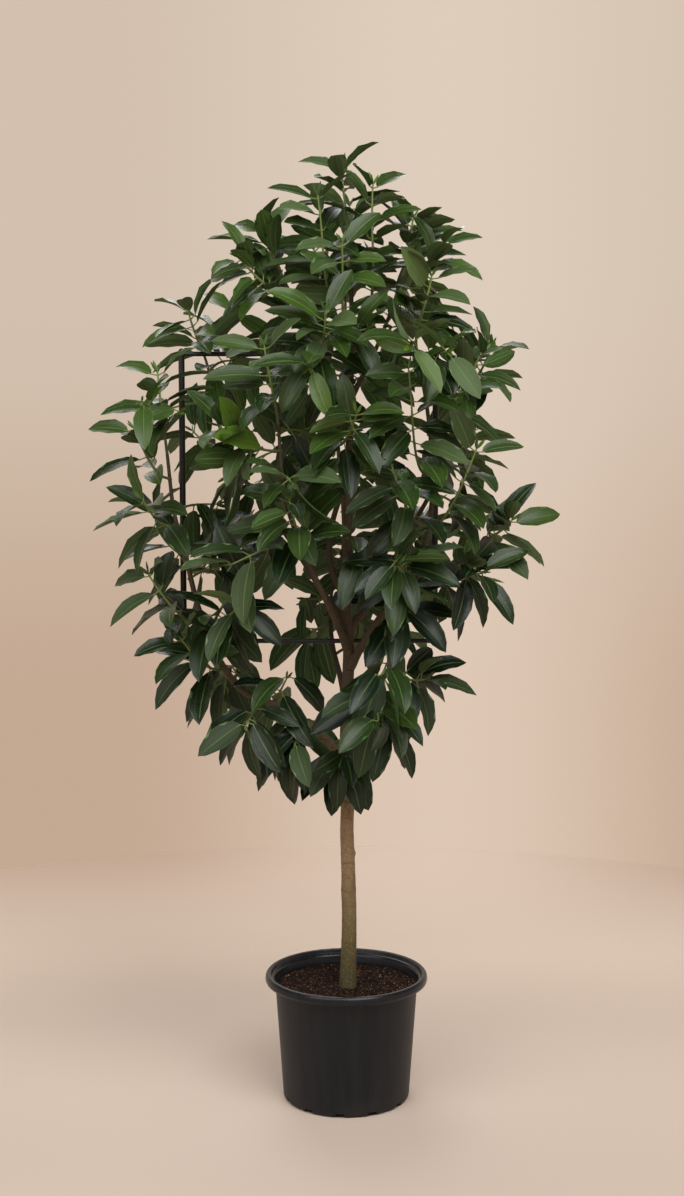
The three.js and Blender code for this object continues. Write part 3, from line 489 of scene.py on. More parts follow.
# The trunk and its limbs
# One grown piece of wood: a straight trunk under thin bark, olive near the foot and tan above, with scars
# across it where leaves and side shoots were, and limbs that fork from it with a collar at each fork.
MM = 0.001
TRUNK_ROUTE = [(3, 0, 116), (3, 0, 165), (3, 0, 215), (5, -1, 300), (5, 0, 370), (3, 0, 440), (1, 0, 500),
    (2, 0, 560), (0, 0, 640), (1, 0, 742), (4, 0, 815), (3, 0, 870), (-3, 0, 930), (-2, 0, 1000), (3, 0, 1080),
    (6, 0, 1214), (8, -2, 1330), (9, -2, 1430), (8, 0, 1520)]
TRUNK_GIRTHS = [(116, 16), (215, 15.9), (245, 14.6), (340, 13.4), (500, 12.4), (640, 12), (800, 10.6), (1000, 8.8),
    (1250, 6.3), (1520, 3.4)]
LIMB_ROUTES = {  # radius at the fork, radius at the end, and the points that it passes through
    "low_left": (8, 3, [(-1, 0, 612), (-20, -14, 652), (-62, -34, 697), (-118, -52, 736), (-187, -60, 770),
        (-234, -62, 838), (-266, -58, 926), (-287, -50, 1013), (-306, -46, 1084), (-318, -44, 1190)]),
    "low_right": (5.5, 3, [(2, 0, 700), (26, -24, 738), (56, -46, 772), (82, -56, 822), (92, -60, 878)]),
    "low_back": (5.5, 3, [(0, 0, 736), (-12, 30, 784), (-26, 76, 836), (-30, 118, 900), (-22, 142, 972)]),
    "right_front": (7, 2.8, [(4, 0, 800), (60, -34, 896), (112, -58, 962), (142, -72, 1039), (151, -78, 1144),
        (142, -78, 1260), (122, -72, 1370)]),
    "far_right": (4.2, 2.6, [(112, -58, 962), (156, -50, 980), (200, -40, 996), (232, -30, 1024)]),
    "left_front": (6.5, 2.8, [(3, 0, 838), (-34, -60, 925), (-78, -98, 1025), (-108, -110, 1120),
        (-118, -112, 1240)]),
    "centre_front": (5.5, 2.8, [(-2, 0, 905), (-2, -56, 1010), (-8, -92, 1130), (-24, -106, 1270),
        (-38, -108, 1340)]),
    "left_back": (6.5, 2.8, [(1, 0, 876), (-36, 18, 926), (-78, 62, 990), (-130, 98, 1064), (-190, 114, 1140),
        (-236, 112, 1240), (-254, 96, 1340)]),
    "back": (6, 2.8, [(-2, 0, 938), (-26, 20, 976), (-28, 64, 1050), (0, 110, 1150), (10, 130, 1260),
        (-2, 132, 1370), (-24, 118, 1460)]),
    "right_back": (6, 2.8, [(2, 0, 868), (40, 22, 914), (86, 66, 990), (138, 98, 1080), (190, 104, 1180),
        (224, 92, 1290)]),
    "top_left": (4.6, 2.6, [(7, 0, 1236), (-26, -14, 1310), (-72, -20, 1408), (-112, -10, 1500)]),
    "top_right": (4.4, 2.6, [(8, 0, 1290), (42, -8, 1352), (76, 0, 1434), (100, 6, 1506)]),
}
KNOTS = [  # height, direction, size and reach of the stubs of side shoots, in millimetres and radians
    (457, 0.0, 2.6, 4.5), (441, 1.2, 0.9, 7), (386, math.pi, 1.3, 16), (562, 0.2, 1.3, 18), (556, -1.5, 0.9, 5),
    (500, -1.1, 0.6, 5), (352, -1.9, 0.7, 5), (297, -0.9, 0.6, 4)]
SCARS = [(556, 0.9), (523, 0.4), (486, 0.5), (440, 0.8), (413, 0.35), (388, 0.8), (360, 0.4), (331, 0.8), (291, 0.4),
    (262, 0.5), (676, 0.7), (770, 0.6), (960, 0.5), (1130, 0.5), (1290, 0.4)]
COLLAR = 0.55  # how much thicker a limb is where it forks off
COLLAR_FROM, COLLAR_REACH = 0.012, 0.016
TRUNK_STEP, LIMB_STEP = 0.004, 0.008
CURVE_STEPS = 20  # from each point of a route to the next
TRUNK_SIDES, LIMB_SIDES = 30, 16
RIDGE, RIDGE_REACH = 0.45, 2.2  # of a scar, in millimetres
FACING_POWERS = (2, 12)  # how sharply a long and a short stub stand out


def smooth_path(points, spacing):
    """Points at even steps along the smooth curve that passes through the given ones."""
    points = [Vector(p) for p in points]
    ends = [points[0] * 2 - points[1], *points, points[-1] * 2 - points[-2]]
    fine = []
    for a, b, c, d in zip(ends, ends[1:], ends[2:], ends[3:]):
        x, y, z = (max((q - p).length, 1e-9) ** 0.5 for p, q in ((a, b), (b, c), (c, d)))
        start = ((b - a) / x - (c - a) / (x + y) + (c - b) / y) * y
        end = ((c - b) / y - (d - b) / (y + z) + (d - c) / z) * y
        for t in (i / CURVE_STEPS for i in range(CURVE_STEPS)):
            square, cube = 3 * (c - b) - 2 * start - end, 2 * (b - c) + start + end
            fine.append(b + start * t + square * t ** 2 + cube * t ** 3)
    fine.append(points[-1])
    gone = np.concatenate([[0], np.cumsum([(q - p).length for p, q in zip(fine, fine[1:])])])
    marks = np.linspace(0, gone[-1], max(2, round(gone[-1] / spacing) + 1))
    return [Vector(p) for p in zip(*(np.interp(marks, gone, [p[k] for p in fine]) for k in range(3)))]


def strands(name, lines, **blank):
    """A mesh of bare lines, each its points and its values by name: a list, or one for all of its points.

    blank has every name, and the value for lines that give none."""
    mesh = bpy.data.meshes.new(name)
    starts = np.cumsum([0, *(len(path) for path, values in lines)])
    edges = [(i, i + 1) for start, beyond in zip(starts, starts[1:]) for i in range(start, beyond - 1)]
    mesh.from_pydata([p for path, values in lines for p in path], edges, [])
    for title, none in blank.items():
        flat = []
        for path, values in lines:
            value = values.get(title, none)
            flat += value if isinstance(value, list) else [value] * len(path)
        kind, field = ("FLOAT_VECTOR", "vector") if isinstance(none, Vector) else ("FLOAT", "value")
        mesh.attributes.new(title, kind, "POINT").data.foreach_set(field, np.ravel(flat))
    return mesh


def unit_ring(nodes, sides):
    return nodes.add("CurvePrimitiveCircle", inputs={"Resolution": sides, "Radius": 1.0})


def stems_along(nodes, lines, sides):
    """A round stem along each line, as thick as the line's girth says."""
    line, ring = nodes.add("MeshToCurve", inputs=(lines,)), unit_ring(nodes, sides)
    return nodes.add("CurveToMesh", inputs=(line, ring, nodes.given("girth"), True))


nodes, given = tree_for("round_stems", {"Sides": "Int", "Bark": "Material"})
closed_tree(nodes, stems_along(nodes, given["Shape"], given["Sides"]), (True, given["Bark"]))
round_stems = nodes

# bark: thin, finely wrinkled across, freckled with pores, olive where the trunk is young or near the mix; painted
# shade darkens it from 0.60 to 0.78 m up, where the limbs lie in the crown's shade
BARK_TAN = (0.285, 0.190, 0.104)
BARK_OLIVE = (0.108, 0.094, 0.024)
BARK_SHADE = (0.075, 0.050, 0.027)
BARK_PALE = (0.42, 0.32, 0.20)
# painted shade: the colour of the wood inside the crown
BARK_PAINTED_SHADE = (0.046, 0.034, 0.022)
BARK_MOSSY = (0.058, 0.062, 0.013)
BARK_PORES = (0.30, 0.235, 0.16)
TWIG_GREEN = (0.105, 0.115, 0.036)
paint = Finish("bark")
height, girth = paint.height(), paint.given("girth")
blotches = paint.noise(38, 38, 22, detail=5, roughness=0.65)
wrinkles = paint.noise(90, 90, 620, distortion=0.8)
fissures = paint.noise(900, 900, 60)
pores = paint.pores(260, 260, 420).step(0.3, 0.16)
specks = paint.noise(300, 300, 230, detail=4, roughness=0.7)
east, north = (paint.axis(paint.place(), k) for k in (0, 1))
scars = 0
for i, (z, size) in enumerate(SCARS):
    turn = -1.9 + 0.9 * math.sin(i * 2.4)
    facing = east * math.cos(turn) + north * math.sin(turn)
    across = north * math.cos(turn) - east * math.sin(turn)
    bowed = height + 0.006 * (blotches - 0.5) + across * across * 28
    scars = scars + abs(bowed - (z + 1.5) * MM).step(0.0026, 0.0005) * facing.step(0.003, 0.011) * size
low = (height + 0.09 * (blotches - 0.5)).step(0.46, 0.25)
young = girth.step(0.0062, 0.0032)
colour = paint.layered(BARK_TAN, (low, BARK_OLIVE), (height.step(0.30, 0.215) * 0.75, BARK_MOSSY),
    (young, TWIG_GREEN), (blotches.step(0.40, 0.72) * 0.6, BARK_SHADE), (specks.step(0.50, 0.66) * 0.5, BARK_SHADE),
    # the layer from 0.60 to 0.78 m up is painted shade inside the crown
    (specks.step(0.46, 0.30) * 0.5, BARK_PALE), (height.step(0.60, 0.78) * 0.8, BARK_PAINTED_SHADE),
    ((wrinkles.step(0.50, 0.66) * 0.38 + scars * 0.6).clamped(), BARK_SHADE), (pores * 0.35, BARK_PORES))
bark = paint.shader(base_color=colour, roughness=0.78 + 0.12 * wrinkles,
    normal=paint.raised(wrinkles * 0.6 + fissures * 0.3 + pores * 0.5 - scars * 0.5, 0.0007, 0.8))


def girth_at(z):
    """The trunk's radius at a height in metres, with its scars."""
    girth = np.interp(z / MM, *zip(*TRUNK_GIRTHS))
    ridges = sum(size * RIDGE * math.exp(-(((z / MM - scar) / RIDGE_REACH) ** 2)) for scar, size in SCARS)
    return (girth + ridges) * MM


routes = {"trunk": smooth_path([Vector(p) * MM for p in TRUNK_ROUTE], TRUNK_STEP)}
girths = {"trunk": [girth_at(p.z) for p in routes["trunk"]]}
for limb, (first, last, route) in LIMB_ROUTES.items():
    path = smooth_path([Vector(p) * MM for p in route], LIMB_STEP)
    routes[limb], girths[limb] = path, []
    for i in range(len(path)):
        collar = COLLAR * math.exp(-max(0, LIMB_STEP * i - COLLAR_FROM) / COLLAR_REACH)
        girths[limb].append((first + (last - first) * i / (len(path) - 1)) * MM * (1 + collar))

trunk, *limbs = (shaped(name, strands(name, [(route, {"girth": girths[name]})], girth=0), round_stems,
    {"Sides": TRUNK_SIDES if name == "trunk" else LIMB_SIDES, "Bark": bark}) for name, route in routes.items())
heights = [p.z for p in routes["trunk"]]
for corner in trunk.data.vertices:
    share = np.interp(corner.co.z, heights, range(len(heights)))
    middle = routes["trunk"][round(float(share))]
    out = Vector((corner.co.x - middle.x, corner.co.y - middle.y, 0)).normalized()
    for z, angle, size, reach in KNOTS:
        facing = out.x * math.cos(angle) + out.y * math.sin(angle)
        if facing > 0 and abs(corner.co.z / MM - z) < 3 * reach:
            away = ((corner.co.z / MM - z) / reach) ** 2
            corner.co += out * size * MM * facing ** FACING_POWERS[reach < 10] * math.exp(-away)


def fused(piece, others):
    """Makes one closed piece of several that meet."""
    for other in others:
        joint = piece.modifiers.new("joint", "BOOLEAN")
        joint.operation, joint.solver, joint.object = "UNION", "MANIFOLD", other
    evaluated(piece)
    for other in others:
        bpy.data.objects.remove(other)


fused(trunk, limbs)
nodes, given = tree_for("uneven_bark", {"Lump size": "Float", "Lump depth": "Float"})
spot = nodes.add("InputPosition")
lumps = nodes.add("ShaderNodeTexNoise", inputs={"Vector": spot, "Scale": 1 / given["Lump size"], "Detail": 3.0})
out = nodes.scaled(nodes.add("InputNormal"), (lumps - 0.5) * given["Lump depth"])
uneven = nodes.add("SetPosition", inputs={"Geometry": given["Shape"], "Offset": out})
closed_tree(nodes, uneven)
wood = shaped("trunk_wood", trunk.data, nodes, {"Lump size": 0.016, "Lump depth": 0.0011})
bpy.data.objects.remove(trunk)
handed_over(wood, 60, "bark", "trunk_and_limbs")


# The support frame
# Black coated steel rod behind the trunk: three uprights and two rails, butted together and spot welded, so that
# a small bead of metal shows at each joint under the coating. The rods' ends are capped round.
FRAME_LEFT, FRAME_RIGHT, FRAME_CENTRE = -0.297, 0.161, 0.004
FRAME_TOP, FRAME_BOTTOM, FRAME_DEPTH = 1.368, 0.848, 0.019
UPRIGHT_RADIUS, RAIL_RADIUS = 0.0056, 0.0043
OVERHANG = 0.010
BEAD_RADIUS = 0.0062
ROD_SIDES = 24
CAP_STEPS, ROD_STEPS = 4, 12


def rod(start, end, radius):
    """The line of a straight rod with round caps, and its girths."""
    start, end = Vector(start), Vector(end)
    way = (end - start).normalized()
    turns = [math.pi / 2 * i / CAP_STEPS for i in range(CAP_STEPS)]
    caps = [(radius - radius * math.sin(math.pi / 2 - a), radius * max(math.sin(a), 0.08)) for a in turns]
    body = [(start + (end - start) * i / ROD_STEPS, radius) for i in range(ROD_STEPS + 1)]
    body[0] = (start + way * radius, radius)
    body[-1] = (end - way * radius, radius)
    line = [(start + way * d, r) for d, r in caps] + body + [(end - way * d, r) for d, r in reversed(caps)]
    return [p for p, r in line], {"girth": [r for p, r in line]}


paint = Finish("rod_coating")
peel = paint.noise(420, detail=2)
rubs = paint.noise(120, 120, 9, detail=4).step(0.60, 0.78)
dust = paint.noise(14, detail=4).step(0.45, 0.8)
colour = paint.layered((0.0065, 0.0068, 0.0078), (rubs * 0.4, (0.030, 0.030, 0.031)),
    (dust * 0.25, (0.050, 0.047, 0.042)))
rod_coating = paint.shader(base_color=colour, roughness=0.36 + 0.2 * dust + 0.1 * rubs,
    normal=paint.raised(peel, 0.0001, 0.6))

reaches = {FRAME_LEFT: OVERHANG, FRAME_RIGHT: OVERHANG, FRAME_CENTRE: 0}  # of each upright, past the rails
rods = [((x, FRAME_DEPTH, FRAME_BOTTOM - far), (x, FRAME_DEPTH, FRAME_TOP + far), UPRIGHT_RADIUS)
    for x, far in reaches.items()]
rods += [((FRAME_LEFT, FRAME_DEPTH, z), (FRAME_RIGHT, FRAME_DEPTH, z), RAIL_RADIUS)
    for z in (FRAME_TOP, FRAME_BOTTOM)]
coated = {"Sides": ROD_SIDES, "Bark": rod_coating}
support, *parts = (shaped("support_frame", strands("rod", [rod(*ends)], girth=0), round_stems, coated)
    for ends in rods)
for x in (FRAME_LEFT, FRAME_CENTRE, FRAME_RIGHT):
    for z in (FRAME_TOP, FRAME_BOTTOM):
        bead = bmesh.new()
        bmesh.ops.create_icosphere(bead, subdivisions=3, radius=BEAD_RADIUS)
        for corner in bead.verts:
            corner.co *= 1 + 0.05 * noise.noise(corner.co * 400 + Vector((x, 0, z)) * 50)
            corner.co += Vector((x, FRAME_DEPTH, z))
        parts.append(made("bead", bead, rod_coating))
fused(support, parts)
rod_nodes = ("upright_left", "upright_right", "upright_centre", "rail_top", "rail_bottom")
handed_over(support, 40, "rod_coating", *rod_nodes)


# The ties
# Two flat bands of black rubber, each stretched once round the trunk and the middle upright.
TIE_HEIGHTS = (1.010, 1.318)
TIE_WIDTH = 0.009
TIE_THICKNESS = 0.0014
TIE_GAP = 0.0009
TIE_POINTS = 64

paint = Finish("tie_band")
ribs = (paint.height() * 5200).sine()
bloom = paint.noise(160, detail=4)
colour = paint.mixed(bloom.step(0.4, 0.75), (0.012, 0.012, 0.012), (0.034, 0.032, 0.030))
tie_band = paint.shader(base_color=colour, roughness=0.62 + 0.2 * bloom,
    normal=paint.raised(ribs * 0.5 + bloom * 0.5, 0.00018, 0.7))

nodes, given = tree_for("flat_band", {"Width": "Float", "Thickness": "Float", "Rubber": "Material"})
line = nodes.add("MeshToCurve", inputs=(given["Shape"],))
upright = nodes.add("SetCurveNormal", {"mode": "Z_UP"}, (line,))
section = nodes.add("CurvePrimitiveQuadrilateral", {}, (given["Thickness"], given["Width"]))
section = nodes.add("FilletCurve", {"mode": "POLY"}, {
    "Curve": section, "Count": 3, "Radius": given["Thickness"] * 0.42, "Limit Radius": True})
band = nodes.add("CurveToMesh", inputs=(upright, section, 1.0, False))
closed_tree(nodes, band, (True, given["Rubber"]))
for name, z in zip(("tie_lower", "tie_upper"), TIE_HEIGHTS):
    middle = min(routes["trunk"], key=lambda p: abs(p.z - z))
    circles = [(middle.x, middle.y, girth_at(z)), (FRAME_CENTRE, FRAME_DEPTH, UPRIGHT_RADIUS)]
    loop = []
    for i in range(TIE_POINTS):
        angle = i * math.tau / TIE_POINTS
        cx, cy = math.cos(angle), math.sin(angle)
        x, y, radius = max(circles, key=lambda c: c[0] * cx + c[1] * cy + c[2])
        radius += TIE_GAP + TIE_THICKNESS / 2
        loop.append((x + cx * radius, y + cy * radius, z))
    mesh = bpy.data.meshes.new(name)
    mesh.from_pydata(loop, [(i, (i + 1) % TIE_POINTS) for i in range(TIE_POINTS)], [])
    tie = shaped(name + "_band", mesh, nodes,
        {"Width": TIE_WIDTH, "Thickness": TIE_THICKNESS, "Rubber": tie_band})
    handed_over(tie, 50, "tie_band", name)


# The leafy shoots
# Green twigs on the trunk and the limbs. Each has smooth leathery leaves in pairs on short stalks, every pair
# turned across the one below it, with three pale veins in a blade, and tiny new leaves round its end.
EDGE_ROWS = (0.3, 0.68)  # the shares of a plain blade's length at which it has its edges
EDGE_WIDTH = 0.95
WIDTH_POWERS, WIDEST = (0.6, 0.74), 0.3985  # of the curve that a blade's width follows, and the most that it gives
ROWS = [0, 0.06, 0.18, 0.36, 0.55, 0.73, 0.88, 1]
STALK = 0.012
STALK_GIRTHS = [0.0015, 0.00115, 0.0012, 0.001, 0.0007, 0.0003]
STEM_GIRTHS = (0.0028, 0.0014)
PAIR_GIRTH, SHOOT_GIRTH = 0.0022, 0.002  # of the stem where a leaf is added, on the 50 shoots and on the others
STEM_STEP, STEM_END = 0.009, 0.0002
STALKED = 0.006  # a blade of a smaller half width has no stalk
LEAST_WIDTHS = (0.0011, 0.00025)  # of half a blade, in its lower half and at its tip
FOOT = 0.006
TINY_LEAVES, TINY_LEAF, TINY_YOUNG = 3, (0.013, 0.026), 1.2  # how many a bud has, how long and how young
GAP = 0.0016  # the air that each side of a blade keeps free
FULL_LENGTH, LOW_GAIN = 0.102, 0.018  # of a grown leaf at the top, and what it is longer at the crown's foot
HALF_WIDTHS, CURLS = (0.17, 0.21), (0.14, 0.28)  # as shares of the length
TURNED_OVER, TURNED_BY = 0.13, (1.2, 2.2)  # how many leaves turn over on their stalks, and how far
HANG_HEIGHTS, HANGS = (0.62, 0.75, 0.9, 1.1, 1.4, 1.6), (1.15, 0.9, 0.55, 0.3, 0.18, 0.1)
LOW, LEFT_OUT = 1.15, 0.2  # below this height some of the pairs between are left out
MORE_SHOOTS = 58
TRIES, FILLING_TRIES = 20000, 13000
CROWN_FOOT = 0.64
FULL_HEIGHTS, SPARED = (0.74, 1.42), 0.6  # where the crown is full, and the share left out above and below
EMPTY = 0.037  # how far from any leaf a place has to show to count as empty
NEAREST, NEIGHBOURS, NEIGHBOURS_IN = (0.03, 0.10), 5, 0.16
SHOOT_REACH = (0.04, 0.17)
TURN_TO_SIDE, BACK_FROM = (0.1, 1.1), 0.04
FULL_FACED = [  # where a leaf turns its whole face to the front: x, z, how young it is and how dull
    (-0.34, 1.279, 1.1, 0.3), (-0.205, 1.2485, 1.1, 0.3), (-0.198, 1.196, 1.1, 0.3), (0.348, 1.083, 1.3, 0.3),
    (0.088, 0.707, 1.1, 0.3), (-0.021, 1.418, 0.5, 0.97), (0.195, 1.299, 0.3, 0.98), (0.218, 1.241, 0.3, 0.95),
    (0.149, 1.506, 0.3, 0.96), (0.039, 0.736, 0.5, 0.99), (-0.194, 0.696, 0.3, 0.97)]
# the crown's outline from the front: a height, and how far the crown reaches there to the left and to the right
OUTLINE = [
    (0.541, -0.02, -0.01), (0.566, -0.08, 0.02), (0.612, -0.147, 0.07), (0.659, -0.21, 0.115),
    (0.742, -0.255, 0.133), (0.778, -0.274, 0.151), (0.833, -0.36, 0.196), (0.87, -0.367, 0.17),
    (0.925, -0.355, 0.187), (0.961, -0.36, 0.268), (0.998, -0.364, 0.268), (1.052, -0.328, 0.295),
    (1.088, -0.355, 0.277), (1.124, -0.355, 0.241), (1.178, -0.364, 0.259), (1.232, -0.373, 0.241),
    (1.303, -0.373, 0.241), (1.338, -0.36, 0.268), (1.374, -0.373, 0.313), (1.41, -0.328, 0.241),
    (1.445, -0.30, 0.178), (1.48, -0.264, 0.169), (1.515, -0.225, 0.169), (1.55, -0.20, 0.187),
    (1.585, -0.19, 0.214), (1.62, -0.14, 0.187), (1.655, -0.085, 0.142), (1.68, -0.06, 0.07),
    (1.707, -0.03, -0.003)]
SKY = [  # openings that stay free: x and z
    (-0.17, -0.08, 0.85, 0.95), (-0.31, -0.283, 1.04, 1.42), (-0.283, -0.235, 1.21, 1.28),
    (-0.283, -0.235, 1.10, 1.16), (-0.26, -0.20, 0.93, 0.97), (0.10, 0.16, 0.86, 0.90)]
BOX_MARGIN = 0.004  # how far a blade may pass the box of the plain shapes
NEAR_BLADES, NEAR_TURNED = 0.14, 0.13  # how far apart the middles of blades that may touch lie
ATTEMPTS = 24
WOOD_FROM, TARGET_MARGIN = 0.62, 0.03
UP = Vector((0, 0, 1))
luck = random.Random(23)


def width_at(share):
    """A blade's half width along its length, as a share of its largest."""
    return max(share, 1e-9) ** WIDTH_POWERS[0] * (1 - share) ** WIDTH_POWERS[1] / WIDEST


class Leaf:
    """A blade along start + way * s + bend * s * s, with the side that its upper face looks to."""

    def __init__(self, root, start, way, bend, half, up):
        self.root, self.start, self.way, self.bend, self.half = root, start, way, bend, half
        self.side = up.cross(way).normalized()
        self.outward, self.pair, self.young, self.dull = None, None, 0, None

    def at(self, share):
        return self.start + self.way * share + self.bend * share * share

    def face(self, share):
        return (self.way + 2 * self.bend * share).cross(self.side).normalized()

    def sheet(self):
        """Three layers that stand for the blade and the air round it."""
        points, triangles = [], []
        for offset in (-GAP, 0, GAP):
            rows = []
            for share in (0.04, *EDGE_ROWS, 0.97):
                middle = self.at(share) + self.face(share) * offset
                edge = self.side * self.half * width_at(share)
                raised = self.face(share) * self.half * width_at(share) * 0.25
                rows.append(len(points))
                points += [middle - edge + raised, middle, middle + edge + raised]
            for a, b in zip(rows, rows[1:]):
                for k in (0, 1):
                    triangles += [(a + k, a + k + 1, b + k), (a + k + 1, b + k + 1, b + k)]
        return points, triangles


def rings_round(corner, most, left_out):
    """The corners round one, ring after ring."""
    found, seen, ring = [], {corner}, [corner]
    while ring and len(found) <= most:
        found.append(ring)
        beyond = (edge.other_vert(c) for c in ring for edge in c.link_edges)
        ring = list(dict.fromkeys(c for c in beyond if c not in seen and c not in left_out))
        seen.update(ring)
    return found


def middle_of(corners):
    return sum((c.co for c in corners), Vector()) / len(corners)


def edges_and_rib(ring):
    """The two corners of a blade's ring that lie furthest apart, and the middle of the others."""
    one, other = max(combinations(ring, 2), key=lambda pair: (pair[0].co - pair[1].co).length)
    return one.co, other.co, middle_of([c for c in ring if c not in (one, other)])


def read_shoot(mesh):
    """The stem's line, the places of its pairs and its leaves, as the plain shape of a shoot gives them."""
    shape = bmesh.new()
    shape.from_mesh(mesh)
    bmesh.ops.remove_doubles(shape, verts=shape.verts, dist=1e-5)
    blades, blade_corners = [], set()
    for corner in shape.verts:
        if len(corner.link_edges) == 4:
            rings = rings_round(corner, 4, ())
            widest = max((a.co - b.co).length for a in rings[1] for b in rings[1])
            if [len(ring) for ring in rings] == [1, 4, 4, 4, 4] and widest > 0.008:
                blades.append(rings)
                blade_corners.update(c for ring in rings[:4] for c in ring)
    bud = next(c for c in shape.verts if c not in blade_corners and len(c.link_edges) == 4
        and min(edge.calc_length() for edge in c.link_edges) > 0.005)
    stem = rings_round(bud, 99, blade_corners)
    level = {c: i for i, ring in enumerate(stem) for c in ring}
    line = [middle_of(ring) for ring in stem]
    pairs = [(line[i] + line[i + 1]) / 2 for i in range(1, len(line) - 3, 2)]
    leaves = []
    for tip, far, near, first, foot in blades:
        start, end = middle_of(first), tip[0].co
        left, right, rib = edges_and_rib(near)
        far_rib = edges_and_rib(far)[2]
        share = EDGE_ROWS[1]
        bend = ((far_rib - start) - share * (end - start)) / (share * share - share)
        root = middle_of(foot)
        place = (max(level[c] for c in foot) - 1) // 2
        up = ((left + right) / 2 - rib).normalized()
        leaf = Leaf(root.copy(), start, end - start - bend, bend, (left - right).length / 2 / EDGE_WIDTH, up)
        leaf.outward, leaf.pair = (root - pairs[place]).normalized(), place
        leaves.append(leaf)
    path = [line[-1], line[-2], *reversed(pairs), line[0]]
    shape.free()
    return path, leaves


def new_leaf(centre, girth, outward, ahead, hang, young, loose):
    """A leaf by the rule that all follow: outwards and ahead along the stem, and down as far as it hangs."""
    root = centre + outward * girth * 0.7
    from_axis = Vector((centre.x, centre.y, 0)).normalized()
    low = min(max((1.3 - centre.z) / 0.6, 0), 1)
    length = (FULL_LENGTH + LOW_GAIN * low) * (1 - 0.36 * young) * luck.uniform(0.9, 1.1) * (1 - 0.3 * loose)
    drop = -1.35 * hang * (1 - 0.6 * young) + luck.uniform(-0.2 - loose, 0.2 + loose)
    aim = (outward + ahead * (0.5 + 0.3 * young) + from_axis * 0.3 + UP * drop).normalized()
    turn = luck.uniform(-0.4 - loose, 0.4 + loose)
    sine, cosine = math.sin(turn), math.cos(turn)
    aim = Vector((aim.x * cosine - aim.y * sine, aim.x * sine + aim.y * cosine, aim.z))
    up = UP + from_axis * (0.35 + 0.5 * hang) + Vector((luck.uniform(-0.35, 0.35), luck.uniform(-0.35, 0.35), 0))
    up = (up - up.project(aim)).normalized()
    if luck.random() < TURNED_OVER:
        up = Matrix.Rotation(luck.choice((-1, 1)) * luck.uniform(*TURNED_BY), 3, aim) @ up
    curl = luck.uniform(*CURLS)
    start = root + (outward * 0.6 + aim * 0.55).normalized() * STALK
    bend = -(aim * 0.35 + up) * length * curl
    leaf = Leaf(root, start, aim * length, bend, length * luck.uniform(*HALF_WIDTHS), up)
    leaf.young = young
    return leaf


shoots = []  # each is its limb, its path and its leaves
solid_points, solid_faces = [], []
for name, node in sorted(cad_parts.items()):
    first = len(solid_points)
    solid_points += [corner.co.copy() for corner in node.data.vertices]
    solid_faces += [[first + i for i in face.vertices] for face in node.data.polygons]
    if name.startswith("shoot_"):
        path, leaves = read_shoot(node.data)
        shoots.append((name.split("_", 2)[2], path, leaves))
solid = BVHTree.FromPolygons(solid_points, solid_faces)
low_corner, high_corner = (Vector(corner) for corner in cad_box)
placed, placed_middles = [], []


def seen_from_front(place):
    """Where a point shows in the plane of the trunk, seen from the camera."""
    eye = camera.location
    share = -eye.y / (place.y - eye.y)
    return eye.x + (place.x - eye.x) * share, eye.z + (place.z - eye.z) * share


def how_far(places, place):
    return np.linalg.norm(np.array(places) - np.array(place), axis=1)


def is_free(points, triangles):
    """Whether a sheet meets nothing that is there, leaves the openings free and stays in the crown."""
    if any(not low_corner[k] - BOX_MARGIN <= p[k] <= high_corner[k] + BOX_MARGIN for p in points for k in range(3)):
        return False
    middle = sum(points, Vector()) / len(points)
    heights, *edges = zip(*OUTLINE)
    for p in (middle, *points[1::6], *points[-2:]):
        across, height = seen_from_front(p)
        left, right = (np.interp(height, heights, edge) for edge in edges)
        if not left < across < right:
            return False
        if any(x0 < across < x1 and z0 < height < z1 for x0, x1, z0, z1 in SKY):
            return False
    tree = BVHTree.FromPolygons(points, triangles)
    if tree.overlap(solid):
        return False
    if placed:
        near = np.nonzero(how_far(placed_middles, middle) < NEAR_BLADES)[0]
        if any(tree.overlap(placed[i]) for i in near):
            return False
    placed.append(tree)
    placed_middles.append(tuple(middle))
    return True


def try_leaf(*where):
    for attempt in range(ATTEMPTS):
        leaf = new_leaf(*where, attempt / ATTEMPTS)
        if is_free(*leaf.sheet()):
            return leaf
    return None


def hang_at(z):
    """How far leaves hang at a height: hardly in the top of the crown, and straight down at its foot."""
    return float(np.interp(z, HANG_HEIGHTS, HANGS))


# pairs between those of the plain shapes
for limb, path, leaves in shoots:
    steps = path[2:-1]
    for i, (a, b) in enumerate(zip(steps, steps[1:])):
        ahead = (b - a).normalized()
        sides = [leaf.outward for leaf in leaves if leaf.pair in (len(steps) - 1 - i, len(steps) - 2 - i)]
        side = sum((s if s.dot(sides[0]) > -0.5 else -s for s in sides), Vector()) if sides else ahead.orthogonal()
        side = (side - side.project(ahead)).normalized()
        for outward in (side, -side):
            if a.z < LOW and luck.random() < LEFT_OUT:
                continue
            leaf = try_leaf((a + b) / 2, PAIR_GIRTH, outward, ahead, hang_at(a.z), (i / len(steps)) ** 2 * 0.6)
            if leaf:
                leaves.append(leaf)

# shoots more, from the nearest wood: first into what is seen empty from the front, then all through the crown
def seen_of(leaf):
    return [seen_from_front(leaf.at(share)) for share in (0.2, 0.5, 0.8)]


